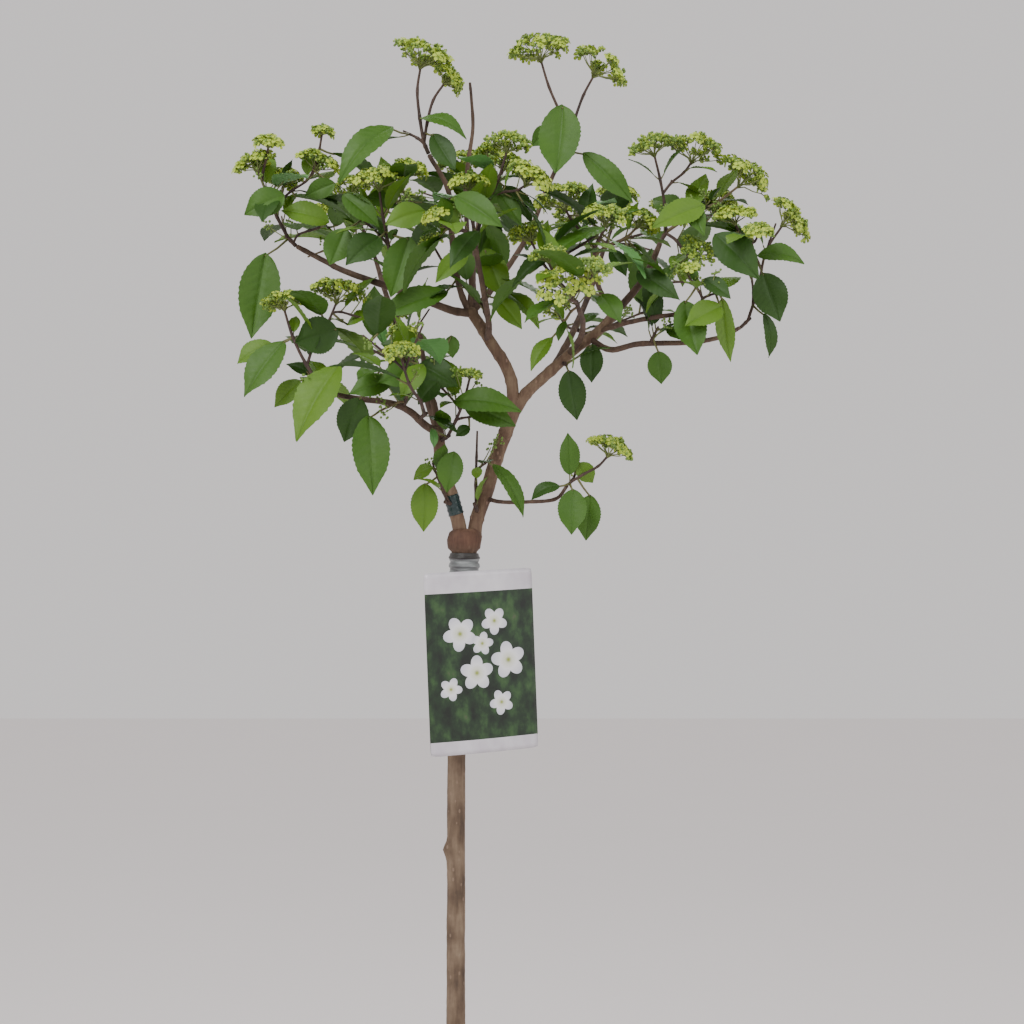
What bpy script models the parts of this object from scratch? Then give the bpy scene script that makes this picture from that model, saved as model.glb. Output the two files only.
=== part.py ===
import math
import random

import bmesh
import bpy
from mathutils import Matrix, Quaternion, Vector
from mathutils.bvhtree import BVHTree

# A young lacecap shrub grown as a half-standard in a plain nursery pot. Metres, +Z up, front at -Y.
# Places in the crown are given as seen from the front, in millimetres across and up from the fork,
# with a depth behind the fork, and seen() turns them into points.

MM = 0.001
GAP = 0.3 * MM  # air between neighbouring solids
SEED = 11

POT_HEIGHT = 210 * MM
POT_MOUTH_RADIUS = 114 * MM
POT_FOOT_RADIUS = 86 * MM
POT_WALL = 2.4 * MM
POT_RIM_DROP = 18 * MM
POT_RIM_OUT = 4 * MM
POT_SIDES = 32
SOIL_TOP = 190 * MM

CLEAR_STEM = 600 * MM  # soil to fork
FORK_ACROSS = 11.7 * MM  # the trunk leans this far by its fork
FORK_Z = SOIL_TOP + CLEAR_STEM
EYE_DISTANCE = 1300 * MM
EYE_ACROSS = 31 * MM  # the eye is level, this far to the right of the fork and above it
EYE_UP = 10 * MM

TWIG_RADIUS = 1.35 * MM
TWIG_TIP_RADIUS = 0.85 * MM

CARD_WIDTH = 78 * MM
CARD_HEIGHT = 123 * MM
CARD_THICKNESS = 1.0 * MM
CARD_TURN = 22  # degrees, left edge towards the viewer
CARD_TILT = -2.4
CARD_BOW = 2.5 * MM
STRAP_RADIUS = 10 * MM
STRAP_WIDTH = 4 * MM
STRAP_THICKNESS = 0.7 * MM

# Limbs: (across, up, depth) points in millimetres, first and last radius in millimetres, parent.
LIMBS = {
    "left_stem": ([
        (-4, -10, 0), (-6, 3, -1), (-9, 14, -2), (-12, 26, -4), (-18, 46, -7), (-20, 67, -9),
    ], 5.2, 4.1, "trunk"),
    "right_stem": ([
        (5, -8, 1), (6, 2, 2), (9, 12, 3), (14, 26, 5), (21, 50, 7), (26, 63, 7), (33, 82, 6),
    ], 5.0, 4.8, "trunk"),
    "centre_limb": ([
        (32, 79, 6), (31, 98, 5), (26, 112, 3), (17, 126, 1), (9, 139, -1), (2, 149, -2),
    ], 4.4, 3.7, "right_stem"),
    "right_limb": ([
        (33, 80, 6), (41, 92, 6), (54, 104, 5), (73, 121, 3), (92, 136, 1), (103, 149, 0),
    ], 4.4, 3.1, "right_stem"),
    "upper_left_limb": ([
        (3, 147, -2), (-10, 149, -6), (-29, 156, -10), (-53, 165, -10), (-84, 176, 0), (-98, 183, 6),
        (-117, 193, 10),
    ], 3.0, 1.7, "centre_limb"),
    "top_left_limb": ([
        (1, 148, -2), (-6, 168, -5), (-11, 205, -9), (-13, 232, -12), (-26, 256, -15),
    ], 2.4, 1.6, "centre_limb"),
    "top_twig": ([
        (2, 148, -2), (3, 170, 3), (1, 191, 6), (-1, 228, 9), (1, 253, 11), (4, 275, 12),
        (3, 295, 12), (2, 306, 12),
    ], 2.2, 0.9, "centre_limb"),
    "top_right_limb": ([
        (3, 147, -2), (15, 161, 4), (31, 183, 12), (44, 205, 20), (53, 228, 26), (66, 257, 30),
    ], 2.3, 1.5, "centre_limb"),
    "right_top_limb": ([
        (102, 147, 0), (119, 167, 6), (127, 181, 13), (133, 195, 20),
    ], 2.8, 1.9, "right_limb"),
    "right_inner_limb": ([
        (100, 145, 0), (93, 160, -8), (89, 172, -14), (88, 184, -18),
    ], 2.1, 1.5, "right_limb"),
    "right_low_limb": ([
        (84, 130, 2), (99, 122, -6), (119, 126, -13), (154, 127, -14), (176, 131, -8), (188, 137, 0),
    ], 2.3, 1.4, "right_limb"),
    "right_mid_limb": ([
        (91, 135, 1), (108, 140, -10), (127, 144, -22), (152, 148, -32), (161, 155, -35),
    ], 2.0, 1.3, "right_limb"),
    "low_right_twig": ([
        (12, 20, 4), (23, 17, -4), (43, 17, -14), (61, 19, -20), (69, 28, -22),
    ], 1.5, 1.2, "right_stem"),
    "left_limb": ([
        (-19, 64, -9), (-29, 70, -14), (-39, 79, -20), (-52, 85, -25), (-74, 88, -28),
        (-91, 91, -30),
    ], 3.0, 1.7, "left_stem"),
    "left_up_limb": ([
        (-20, 63, -9), (-22, 81, -7), (-26, 95, -4), (-30, 115, 0), (-32, 132, 3),
    ], 2.6, 1.5, "left_stem"),
    "back_left_limb": ([
        (-17, 54, -7), (-25, 80, 12), (-38, 120, 42), (-54, 155, 78), (-63, 184, 104),
    ], 2.8, 1.7, "left_stem"),
    "back_limb": ([(6, 142, 0), (4, 168, 26), (6, 194, 64), (8, 212, 98)], 2.4, 1.6, "centre_limb"),
    "back_right_limb": ([
        (60, 110, 5), (71, 130, 26), (84, 160, 68), (94, 190, 108),
    ], 2.8, 1.7, "right_limb"),
    "front_limb": ([(14, 129, 0), (15, 140, -18), (11, 164, -50), (6, 192, -78)], 2.5, 1.6, "centre_limb"),
    "front_right_limb": ([
        (70, 118, 4), (78, 130, -14), (80, 141, -42), (77, 150, -72),
    ], 2.4, 1.6, "right_limb"),
}

# Masses of foliage: the limb that carries it, how far along, the shoots as (across, up, depth, radius
# of the flower head or 0), the leaves as (across, up, depth) of base and tip, width, roll and arch,
# and how many more pairs of leaves the rule gives each shoot.
MASSES = {
    "west_top_foliage": ("upper_left_limb", 1.0, [
        (-146, 250, -5, 14, -10), (-137, 264, -16, 8), (-126, 239, 20, 11), (-103, 250, 8, 14), (-100, 272, 2, 6),
        (-128, 214, 35, 0),
    ], [
        (-139, 189, -2, -149, 129, -10, 28, 0, 0), (-126, 229, -22, -154, 215, -26, 20, 20, 3),
        (-95, 210, -14, -129, 218, -12, 16, 30, 4), (-91, 237, 0, -112, 228, 4, 14, 10, 2),
    ], 1),
    "west_inner_foliage": ("upper_left_limb", 0.5, [
        (-61, 238, -42, 17), (-39, 245, -30, 11), (-76, 215, -20, 0),
    ], [
        (-86, 229, -32, -60, 206, -38, 15, 20, 3), (-29, 218, -50, -57, 208, -56, 18, 20, 3),
        (-84, 206, -30, -95, 180, -40, 20, 10, 2), (-40, 200, -40, -53, 158, -55, 24, 10, 3),
        (-60, 200, -36, -84, 180, -50, 20, 20, 3), (-48, 222, -28, -72, 226, -34, 12, 40, 3),
    ], 1),
    "west_low_foliage": ("left_limb", 1.0, [
        (-127, 154, -24, 14), (-89, 160, -16, 18), (-112, 108, -5, 0),
    ], [
        (-89, 136, -24, -119, 127, -36, 26, 0, 3), (-126, 128, -24, -154, 89, -34, 20, 35, 3),
        (-134, 126, -18, -159, 112, -20, 13, 40, 3), (-83, 139, -10, -64, 144, -14, 8, 55, 4),
        (-66, 143, -14, -57, 124, -18, 9, 45, 2), (-115, 101, -16, -133, 82, -16, 14, 20, 2),
        (-88, 112, -34, -118, 58, -50, 25, 35, 5), (-106, 104, -8, -125, 112, -6, 8, 40, 2),
    ], 1),
    "west_low_inner_foliage": ("left_limb", 0.5, [
        (-45, 133, -44, 8), (-64, 110, -40, 0),
    ], [
        (-74, 89, -36, -85, 58, -36, 22, 0, 1), (-68, 77, -36, -65, 21, -48, 26, 5, 3),
        (-52, 100, -40, -82, 91, -46, 16, 30, 3), (-34, 106, -46, -62, 99, -56, 17, 25, 3),
        (-38, 120, -46, -60, 126, -48, 14, 30, 2), (-30, 112, -52, -46, 88, -62, 15, 20, 2),
    ], 0),
    "low_west_foliage": ("left_stem", 0.45, [
        (-24, 44, -14, 0),
    ], [
        (-29, 30, -14, -30, -4, -16, 19, 0, 1), (-23, 41, -14, -37, 32, -10, 9, 40, 2),
        (-9, 52, -24, -14, 23, -28, 18, 10, 2),
    ], 0),
    "centre_low_foliage": ("left_stem", 0.93, [
        (2, 104, -34, 7), (-14, 92, -34, 0), (6, 76, -30, 0),
    ], [
        (-33, 112, -28, -6, 96, -36, 20, 15, 3), (-10, 86, -40, 38, 79, -44, 17, 30, 9),
        (-2, 84, -32, 34, 69, -36, 17, 20, 3), (2, 69, -26, -8, 62, -28, 8, 20, 1),
        (-24, 68, -24, -23, 54, -26, 6, 30, 1), (-11, 132, -26, -10, 116, -26, 11, 0, 0),
        (-20, 100, -38, -34, 84, -44, 14, 20, 2),
    ], 0),
    "low_middle_foliage": ("right_stem", 0.3, [
        (7, 66, -12, 0), (16, 46, -14, 0),
    ], [
        (18, 43, -14, 39, 6, -22, 11, 40, 5),
    ], 0),
    "low_east_foliage": ("low_right_twig", 1.0, [
        (99, 53, -28, 15), (75, 39, -14, 7),
    ], [
        (64, 28, -24, 44, 18, -22, 9, 40, 5), (76, 44, -20, 87, 30, -16, 13, 10, 2),
        (73, 26, -26, 72, -6, -32, 20, 0, 1), (85, 22, -18, 82, -10, -16, 18, 10, 1),
    ], 0),
    "top_west_foliage": ("top_left_limb", 1.0, [
        (-30, 323, -22, 20, 20), (-13, 308, -14, 12, 40), (-44, 273, -6, 0),
    ], [
        (-51, 276, -26, -89, 236, -44, 18, 35, 10), (-32, 282, -20, 0, 267, -28, 9, 50, 7),
        (-24, 271, -24, -8, 246, -32, 16, 10, 2),
    ], 0),
    "top_east_foliage": ("top_right_limb", 1.0, [
        (50, 328, 24, 20), (91, 316, 34, 20, 25),
    ], [
        (66, 291, 20, 61, 243, 2, 29, 10, 3), (80, 258, 22, 115, 223, 16, 17, 15, 4),
        (60, 276, 34, 44, 262, 42, 12, 20, 2),
    ], 0),
    "front_top_foliage": ("front_limb", 1.0, [
        (28, 263, -74, 15), (43, 240, -86, 17), (14, 258, -58, 7), (1, 236, -94, 12), (-22, 214, -100, 8),
    ], [
        (-8, 228, -100, 25, 206, -118, 19, 15, 4), (22, 230, -78, 38, 207, -84, 12, 20, 2),
        (-5, 229, -84, -18, 201, -96, 14, 10, 3), (8, 204, -96, -12, 178, -112, 15, 30, 3),
    ], 1),
    "centre_foliage": ("front_limb", 0.35, [
        (-24, 196, -30, 8), (16, 182, -26, 0),
    ], [
        (12, 192, -32, 26, 157, -44, 20, 10, 3), (20, 158, -30, 38, 136, -34, 14, 15, 3),
        (26, 162, -22, 50, 136, -26, 11, 45, 5), (-13, 162, -34, -63, 143, -46, 17, 30, 5),
        (0, 190, -38, -22, 168, -48, 14, 25, 2),
    ], 1),
    "front_east_foliage": ("front_right_limb", 1.0, [
        (70, 166, -104, 22), (55, 186, -84, 12), (43, 201, -66, 13), (88, 178, -120, 11),
    ], [
        (95, 206, -76, 53, 182, -92, 10, 62, 4), (64, 192, -72, 31, 165, -84, 10, 58, 3),
        (59, 131, -60, 44, 107, -66, 10, 45, 2), (92, 160, -104, 106, 140, -116, 15, 25, 3),
    ], 1),
    "east_upper_foliage": ("right_inner_limb", 1.0, [
        (66, 225, -18, 20), (96, 213, -38, 16), (119, 210, -16, 13),
    ], [
        (99, 191, -30, 110, 172, -36, 11, 20, 2), (80, 205, -10, 62, 196, 4, 14, 40, 2),
    ], 1),
    "east_top_foliage": ("right_top_limb", 1.0, [
        (128, 261, 12, 16, -10), (157, 258, 26, 21), (192, 240, 16, 20, 15), (158, 190, -10, 12), (175, 222, 44, 12),
    ], [
        (164, 222, -14, 127, 206, -30, 18, 25, 3), (146, 226, -6, 164, 200, -26, 15, 30, 3),
        (148, 216, 34, 128, 226, 52, 15, 30, 3),
    ], 1),
    "far_east_foliage": ("right_low_limb", 1.0, [
        (222, 211, 2, 17, 45), (184, 213, -18, 13), (201, 203, -30, 9), (213, 209, -12, 0), (196, 176, 30, 0),
    ], [
        (171, 202, -26, 202, 170, -40, 24, 15, 4), (200, 187, -8, 233, 181, -12, 12, 40, 7),
        (204, 175, -8, 216, 141, -12, 24, 0, 1), (205, 147, -4, 208, 116, 4, 9, 40, 5),
    ], 1),
    "east_foliage": ("right_mid_limb", 1.0, [
        (152, 176, -44, 8), (176, 162, -34, 0), (134, 168, -40, 0),
    ], [
        (150, 156, -42, 159, 118, -54, 22, 15, 3), (176, 152, -38, 150, 138, -52, 18, 20, 3),
        (176, 158, -28, 182, 113, -34, 13, 20, 3), (163, 171, -34, 182, 157, -44, 12, 30, 2),
        (117, 176, -34, 147, 156, -50, 16, 20, 3),
    ], 0),
    "east_hanging_foliage": ("right_limb", 0.52, [], [
        (70, 108, -6, 76, 73, -10, 19, 0, 1), (86, 126, -10, 86, 99, -14, 16, 10, 1),
    ], 0),
    "east_low_foliage": ("right_low_limb", 0.45, [
        (132, 138, -22, 0),
    ], [
        (132, 121, -16, 134, 98, -18, 17, 5, 1), (137, 136, -22, 155, 128, -26, 9, 35, 2),
    ], 0),
    "back_west_foliage": ("back_left_limb", 1.0, [
        (-80, 232, 124, 14), (-102, 214, 92, 12), (-48, 226, 150, 14), (-64, 196, 160, 0), (-110, 186, 112, 0),
    ], [], 2),
    "back_foliage": ("back_limb", 1.0, [
        (-6, 250, 126, 14), (26, 250, 104, 13), (10, 226, 166, 13), (-30, 230, 110, 0), (24, 206, 150, 0),
    ], [], 2),
    "back_east_foliage": ("back_right_limb", 1.0, [
        (104, 228, 134, 14), (74, 214, 152, 13), (138, 216, 96, 13), (130, 190, 138, 0), (96, 190, 168, 0),
    ], [], 2),
    "back_low_west_foliage": ("back_left_limb", 0.45, [
        (-78, 128, 64, 0), (-50, 146, 104, 9), (-26, 150, 74, 0),
    ], [], 2),
    "back_low_east_foliage": ("back_right_limb", 0.42, [
        (62, 150, 92, 9), (110, 148, 80, 0), (132, 152, 52, 0),
    ], [], 2),
    "front_west_foliage": ("left_limb", 0.3, [
        (-46, 120, -92, 10), (-72, 132, -96, 0), (-30, 140, -100, 0),
    ], [], 1),
}

# Holes in the crown where the backdrop shows, as (across, up, half width, half height).
SKY_GAPS = [
    (-108, 174, 20, 10), (-125, 118, 6, 20), (-74, 138, 6, 9), (-16, 136, 11, 11), (46, 112, 16, 18),
    (70, 234, 8, 12), (22, 304, 22, 20), (136, 236, 8, 10), (206, 222, 8, 8), (4, 118, 9, 14),
    (8, 70, 5, 20), (-100, 30, 30, 30), (110, 85, 40, 25), (-150, 160, 14, 14),
]

# Masses whose pieces meet badly with the common seed.
SEEDS = {"back_foliage": 12, "west_low_foliage": 13}

COLOURS = {
    "pot": (0.03, 0.032, 0.035),
    "soil": (0.055, 0.036, 0.024),
    "bark": (0.19, 0.13, 0.09),
    "leaf": (0.07, 0.17, 0.03),
    "tie": (0.10, 0.10, 0.11),
    "card": (0.72, 0.70, 0.74),
    "strap": (0.75, 0.76, 0.78),
}

LEAF_POINTS = 13  # in one leaf of the solids


def clear_scene():
    for thing in list(bpy.data.objects):
        bpy.data.objects.remove(thing, do_unlink=True)


def material(name, colour, roughness=0.7):
    made = bpy.data.materials.new(name)
    made.use_nodes = True
    shader = made.node_tree.nodes["Principled BSDF"]
    shader.inputs["Base Color"].default_value = (*colour, 1)
    shader.inputs["Roughness"].default_value = roughness
    made.diffuse_color = (*colour, 1)
    return made


def seen(across, up, depth):
    """A point that the eye sees this far across and up from the fork, in millimetres."""
    reach = 1 + depth * MM / EYE_DISTANCE
    return Vector((
        FORK_ACROSS + EYE_ACROSS + (across * MM - EYE_ACROSS) * reach,
        depth * MM,
        FORK_Z + EYE_UP + (up * MM - EYE_UP) * reach,
    ))


def in_view(point):
    """The reverse of seen(), without the depth."""
    reach = 1 + point.y / EYE_DISTANCE
    across = (point.x - FORK_ACROSS - EYE_ACROSS) / reach + EYE_ACROSS
    up = (point.z - FORK_Z - EYE_UP) / reach + EYE_UP
    return across / MM, up / MM


def new_object(name, verts, faces, look, smooth=False):
    verts = [Vector(v) for v in verts]
    filled = 0
    for face in faces:
        for i in range(1, len(face) - 1):
            filled += verts[face[0]].dot(verts[face[i]].cross(verts[face[i + 1]]))
    if filled < 0:
        faces = [tuple(reversed(face)) for face in faces]
    mesh = bpy.data.meshes.new(name)
    mesh.from_pydata([tuple(v) for v in verts], [], faces)
    for face in mesh.polygons:
        face.use_smooth = smooth
    thing = bpy.data.objects.new(name, mesh)
    bpy.context.collection.objects.link(thing)
    if look:
        mesh.materials.append(look)
    return thing


def through(points, steps):
    """A smooth line through the points, with this many steps between each two."""
    ends = [points[0] * 2 - points[1], *points, points[-1] * 2 - points[-2]]
    line = []
    for i in range(1, len(ends) - 2):
        a, b, c, d = ends[i - 1 : i + 3]
        for step in range(steps):
            t = step / steps
            line.append(
                0.5 * (2 * b + (c - a) * t + (2 * a - 5 * b + 4 * c - d) * t * t + (3 * b - 3 * c + d - a) * t**3)
            )
    return [*line, points[-1].copy()]


def directions(line):
    found = []
    for i in range(len(line)):
        step = line[min(i + 1, len(line) - 1)] - line[max(i - 1, 0)]
        found.append(step.normalized())
    return found


def tube(line, radii, sides, domed=False):
    """A closed tube along the line, turning no more than the line does. A domed end has one more ring."""
    along = directions(line)
    if domed:
        line = [*line, line[-1] + along[-1] * radii[-1] * 0.55]
        radii = [*radii, radii[-1] * 0.6]
        along = [*along, along[-1]]
    side = along[0].orthogonal().normalized()
    verts = []
    for i, centre in enumerate(line):
        if i:
            side = along[i - 1].rotation_difference(along[i]) @ side
        side = (side - along[i] * side.dot(along[i])).normalized()
        for k in range(sides):
            turn = Quaternion(along[i], 2 * math.pi * k / sides)
            verts.append(centre + (turn @ side) * radii[i])
    faces = [tuple(range(sides))[::-1]]
    for i in range(len(line) - 1):
        for k in range(sides):
            j = (k + 1) % sides
            faces.append((i * sides + k, i * sides + j, (i + 1) * sides + j, (i + 1) * sides + k))
    last = (len(line) - 1) * sides
    faces.append(tuple(range(last, last + sides)))
    return verts, faces


def lathe(name, profile, sides, look):
    """Turns (radius, height) points that run once round a closed section, from the axis back to the axis."""
    verts, rings, faces = [], [], []
    for radius, height in profile:
        if radius == 0:
            rings.append([len(verts)] * sides)
            verts.append((0, 0, height))
            continue
        rings.append([len(verts) + k for k in range(sides)])
        for k in range(sides):
            turn = 2 * math.pi * k / sides
            verts.append((radius * math.cos(turn), radius * math.sin(turn), height))
    for low, high in zip(rings, rings[1:]):
        for k in range(sides):
            j = (k + 1) % sides
            corner = list(dict.fromkeys((low[k], low[j], high[j], high[k])))
            if len(corner) > 2:
                faces.append(tuple(corner))
    return new_object(name, verts, faces, look, smooth=True)


def make_pot():
    inner = POT_MOUTH_RADIUS - POT_WALL
    wall_top = POT_HEIGHT - POT_RIM_DROP
    lip = POT_MOUTH_RADIUS + POT_RIM_OUT
    profile = [
        (0, 0),
        (POT_FOOT_RADIUS - 2 * MM, 0),
        (POT_FOOT_RADIUS, 3 * MM),
        (POT_MOUTH_RADIUS - 2 * MM, wall_top - 2 * MM),
        (POT_MOUTH_RADIUS - 1.5 * MM, wall_top),
        (lip - 1 * MM, wall_top),
        (lip, wall_top + 2 * MM),
        (lip + 1 * MM, POT_HEIGHT - 1 * MM),
        (lip, POT_HEIGHT),
        (lip - 2 * MM, POT_HEIGHT),
        (lip - 3 * MM, wall_top + 5 * MM),
        (inner - 2 * MM, wall_top),
        (POT_FOOT_RADIUS - POT_WALL, POT_WALL),
        (0, POT_WALL),
    ]
    lathe("pot", profile, POT_SIDES, material("pot", COLOURS["pot"], 0.5))
    wall = inner - 2 * MM - (POT_FOOT_RADIUS - POT_WALL)
    share = (SOIL_TOP - 3 * MM - POT_WALL) / (wall_top - POT_WALL)
    rim = POT_FOOT_RADIUS - POT_WALL + wall * share - 2 * GAP
    soil = [
        (0, POT_WALL + GAP),
        (POT_FOOT_RADIUS - POT_WALL - 2 * GAP, POT_WALL + GAP),
        (rim, SOIL_TOP - 3 * MM),
        (rim - 3 * MM, SOIL_TOP - 1.5 * MM),
        (0.8 * rim, SOIL_TOP - 3 * MM),
        (0.55 * rim, SOIL_TOP - 0.5 * MM),
        (0.3 * rim, SOIL_TOP),
        (0, SOIL_TOP),
    ]
    lathe("soil", soil, POT_SIDES, material("soil", COLOURS["soil"], 0.95))


# Trunk rings as (millimetres below the fork, across from the fork, radius, lobes).
TRUNK_RINGS = [
    (599.7, -11.7, 13.0, 0.24), (596, -11.7, 11.4, 0.22), (588, -11.6, 9.6, 0.14), (572, -11.3, 8.2, 0.07),
    (530, -10.6, 7.3, 0.02), (440, -9.2, 6.9, 0), (343, -7.8, 6.5, 0), (250, -7.6, 6.3, 0), (228, -7.7, 6.3, 0),
    (223, -7.8, 6.4, 0), (217, -7.7, 6.3, 0), (161, -7.4, 6.2, 0), (90, -5.2, 6.3, 0), (50, -3.2, 7.2, 0),
    (33, -2.2, 8.4, 0), (25, -1.9, 8.6, 0), (17.5, -1.8, 8.7, 0), (15, -1.8, 10.6, 0.04), (9, -1.8, 11.4, 0.05),
    (4, -1.6, 10.4, 0.04), (1.5, -1.4, 7.4, 0),
]
TRUNK_SIDES = 12
KNOT_BELOW = 223
KNOT_OUT = 2.6 * MM


def trunk_rings(grown=0):
    """The trunk's rings of points, each pushed out by grown."""
    rings = []
    for below, across, radius, lobes in TRUNK_RINGS:
        ring = []
        for k in range(TRUNK_SIDES):
            turn = 2 * math.pi * (k + 0.5) / TRUNK_SIDES
            out = radius * MM * (1 + lobes * math.cos(4 * turn + 0.6)) + grown
            if abs(below - KNOT_BELOW) < 1:
                out += KNOT_OUT * max(0.0, -math.cos(turn)) ** 4
            ring.append(Vector((
                FORK_ACROSS + across * MM + out * math.cos(turn),
                out * math.sin(turn),
                FORK_Z - below * MM,
            )))
        rings.append(ring)
    return rings


def rings_solid(rings):
    sides = len(rings[0])
    verts = [point for ring in rings for point in ring]
    faces = [tuple(range(sides))[::-1], tuple(range(len(verts) - sides, len(verts)))]
    for i in range(len(rings) - 1):
        for k in range(sides):
            j = (k + 1) % sides
            faces.append((i * sides + k, i * sides + j, (i + 1) * sides + j, (i + 1) * sides + k))
    return verts, faces


def carry_out(thing, operation, cutter=None, collection=None, solver="EXACT"):
    """Applies one Boolean to thing, then drops what it worked with."""
    step = thing.modifiers.new("join", "BOOLEAN")
    step.operation = operation
    step.solver = solver
    if collection:
        step.operand_type = "COLLECTION"
        step.collection = collection
    else:
        step.object = cutter
    graph = bpy.context.evaluated_depsgraph_get()
    made = bpy.data.meshes.new_from_object(thing.evaluated_get(graph))
    thing.modifiers.clear()
    thing.data = made
    spent = list(collection.objects) if collection else [cutter]
    for other in spent:
        bpy.data.objects.remove(other, do_unlink=True)
    if collection:
        bpy.data.collections.remove(collection)


def keep_largest(thing):
    """Keeps the largest shell, which drops loose scraps and fills hollows that the fusing sealed."""
    bm = bmesh.new()
    bm.from_mesh(thing.data)
    left, shells = set(bm.faces), []
    while left:
        todo, shell = [left.pop()], []
        while todo:
            face = todo.pop()
            shell.append(face)
            for edge in face.edges:
                for other in edge.link_faces:
                    if other in left:
                        left.discard(other)
                        todo.append(other)
        shells.append(shell)
    shells.sort(key=len)
    for shell in shells[:-1]:
        bmesh.ops.delete(bm, geom=shell, context="FACES")
    bm.to_mesh(thing.data)
    bm.free()


def tree_of(thing):
    graph = bpy.context.evaluated_depsgraph_get()
    return BVHTree.FromObject(thing, graph)


class Limb:
    """A placed limb: its line, its radii and how to tell where a thing may start on it."""

    def __init__(self, line, radii):
        self.line = line
        self.radii = radii
        self.along = directions(line)

    def at(self, share):
        spot = share * (len(self.line) - 1)
        i = min(int(spot), len(self.line) - 2)
        part = spot - i
        radius = self.radii[i] + (self.radii[i + 1] - self.radii[i]) * part
        return self.line[i].lerp(self.line[i + 1], part), self.along[i], radius


limbs = {}
limb_trees = []


def make_trunk():
    verts, faces = rings_solid(trunk_rings())
    look = material("trunk", COLOURS["bark"], 0.85)
    limb_trees.append(tree_of(new_object("trunk", verts, faces, look, smooth=True)))


def limb_cutter(name):
    if name == "trunk":
        verts, faces = rings_solid(trunk_rings(GAP))
    else:
        limb = limbs[name]
        verts, faces = tube(limb.line, [r + GAP for r in limb.radii], 9, domed=True)
    return new_object("cutter", verts, faces, None)


def make_limbs():
    for name, (places, first, last, parent) in LIMBS.items():
        line = through([seen(*place) for place in places], 2)
        n = len(line) - 1
        radii = [(first + (last - first) * i / n) * MM for i in range(n + 1)]
        verts, faces = tube(line, radii, 8 if first > 3.5 else 6 if first > 2.5 else 5, domed=True)
        look = material(name, COLOURS["bark"], 0.8)
        made = new_object(name, verts, faces, look, smooth=True)
        siblings = [other for other in limbs if LIMBS[other][3] == parent]
        for other in [parent, *siblings]:
            carry_out(made, "DIFFERENCE", cutter=limb_cutter(other))
        keep_largest(made)
        limbs[name] = Limb(line, radii)
        limb_trees.append(tree_of(made))


def leaf_piece(root, base, tip, facing, width, arch):
    """One closed leaf: a stalk from inside the twig, then a folded blade that arches and ends in a point."""
    length = (tip - base).length
    axis = (tip - base).normalized()
    across = axis.cross(facing).normalized()
    normal = across.cross(axis).normalized()
    thick = max(length / 45, 0.9 * MM)
    rise = normal * arch
    sections = [
        (root, 0.8 * MM, 1.2 * MM), (base, 0.9 * MM, 1.3 * MM),
        (base.lerp(tip, 0.3) + rise * 0.84, 0.49 * width, thick),
        (base.lerp(tip, 0.7) + rise * 0.84, 0.36 * width, thick),
    ]
    stalk = (base - root).normalized()
    verts = []
    for (centre, half, depth), heading in zip(sections, (stalk, (stalk + axis).normalized(), axis, axis)):
        side = heading.cross(facing)
        if side.length < 0.3:
            side = across - heading * across.dot(heading)
        side.normalize()
        above = side.cross(heading)
        verts += [centre - side * half + above * depth / 2, centre + side * half + above * depth / 2]
        verts.append(centre - above * depth)
    verts.append(tip)
    faces = [(2, 1, 0)]
    for i in range(len(sections) - 1):
        for k in range(3):
            j = (k + 1) % 3
            faces.append((i * 3 + k, i * 3 + j, i * 3 + 3 + j, i * 3 + 3 + k))
    end, top = (len(sections) - 1) * 3, len(verts) - 1
    faces += [(end + k, end + (k + 1) % 3, top) for k in range(3)]
    return verts, faces


def head_piece(centre, axis, radius, rng):
    """A domed flower head: a cushion with a ragged rim and a lumpy top."""
    side = axis.orthogonal().normalized()
    lumps = 6 if radius > 12 * MM else 4
    first = rng.uniform(0, 2 * math.pi)

    def spot(turn, out, rise):
        return centre + (Quaternion(axis, first + turn) @ side) * out * radius + axis * rise * radius

    verts = [spot(0, 0, rng.uniform(0.4, 0.5)), spot(0, 0, -0.45)]
    for k in range(2 * lumps):
        turn = math.pi * (k + rng.uniform(-0.2, 0.2)) / lumps
        out = rng.uniform(0.9, 1.06) if k % 2 else rng.uniform(0.62, 0.76)
        verts.append(spot(turn, out, rng.uniform(-0.22, 0.16)))
    for k in range(lumps):
        verts.append(spot(2 * math.pi * k / lumps, rng.uniform(0.5, 0.66), rng.uniform(0.3, 0.52)))
    rim, crown = 2, 2 + 2 * lumps
    faces = []
    for k in range(2 * lumps):
        faces.append((1, rim + (k + 1) % (2 * lumps), rim + k))
    for k in range(lumps):
        j = (k + 1) % lumps
        low, middle, high = rim + 2 * k, rim + 2 * k + 1, rim + (2 * k + 2) % (2 * lumps)
        faces += [(low, middle, crown + k), (middle, crown + j, crown + k), (middle, high, crown + j)]
        faces.append((0, crown + k, crown + j))
    return verts, faces


def bend(start, leaving, end, arriving, steps):
    """A curve from start to end with these directions at its ends."""
    reach = (end - start).length
    a, b = leaving * reach * 0.9, arriving * reach * 0.9
    line = []
    for i in range(steps + 1):
        t = i / steps
        line.append(
            start * (2 * t**3 - 3 * t**2 + 1) + a * (t**3 - 2 * t**2 + t)
            + end * (3 * t**2 - 2 * t**3) + b * (t**3 - t**2)
        )
    return line


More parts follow.
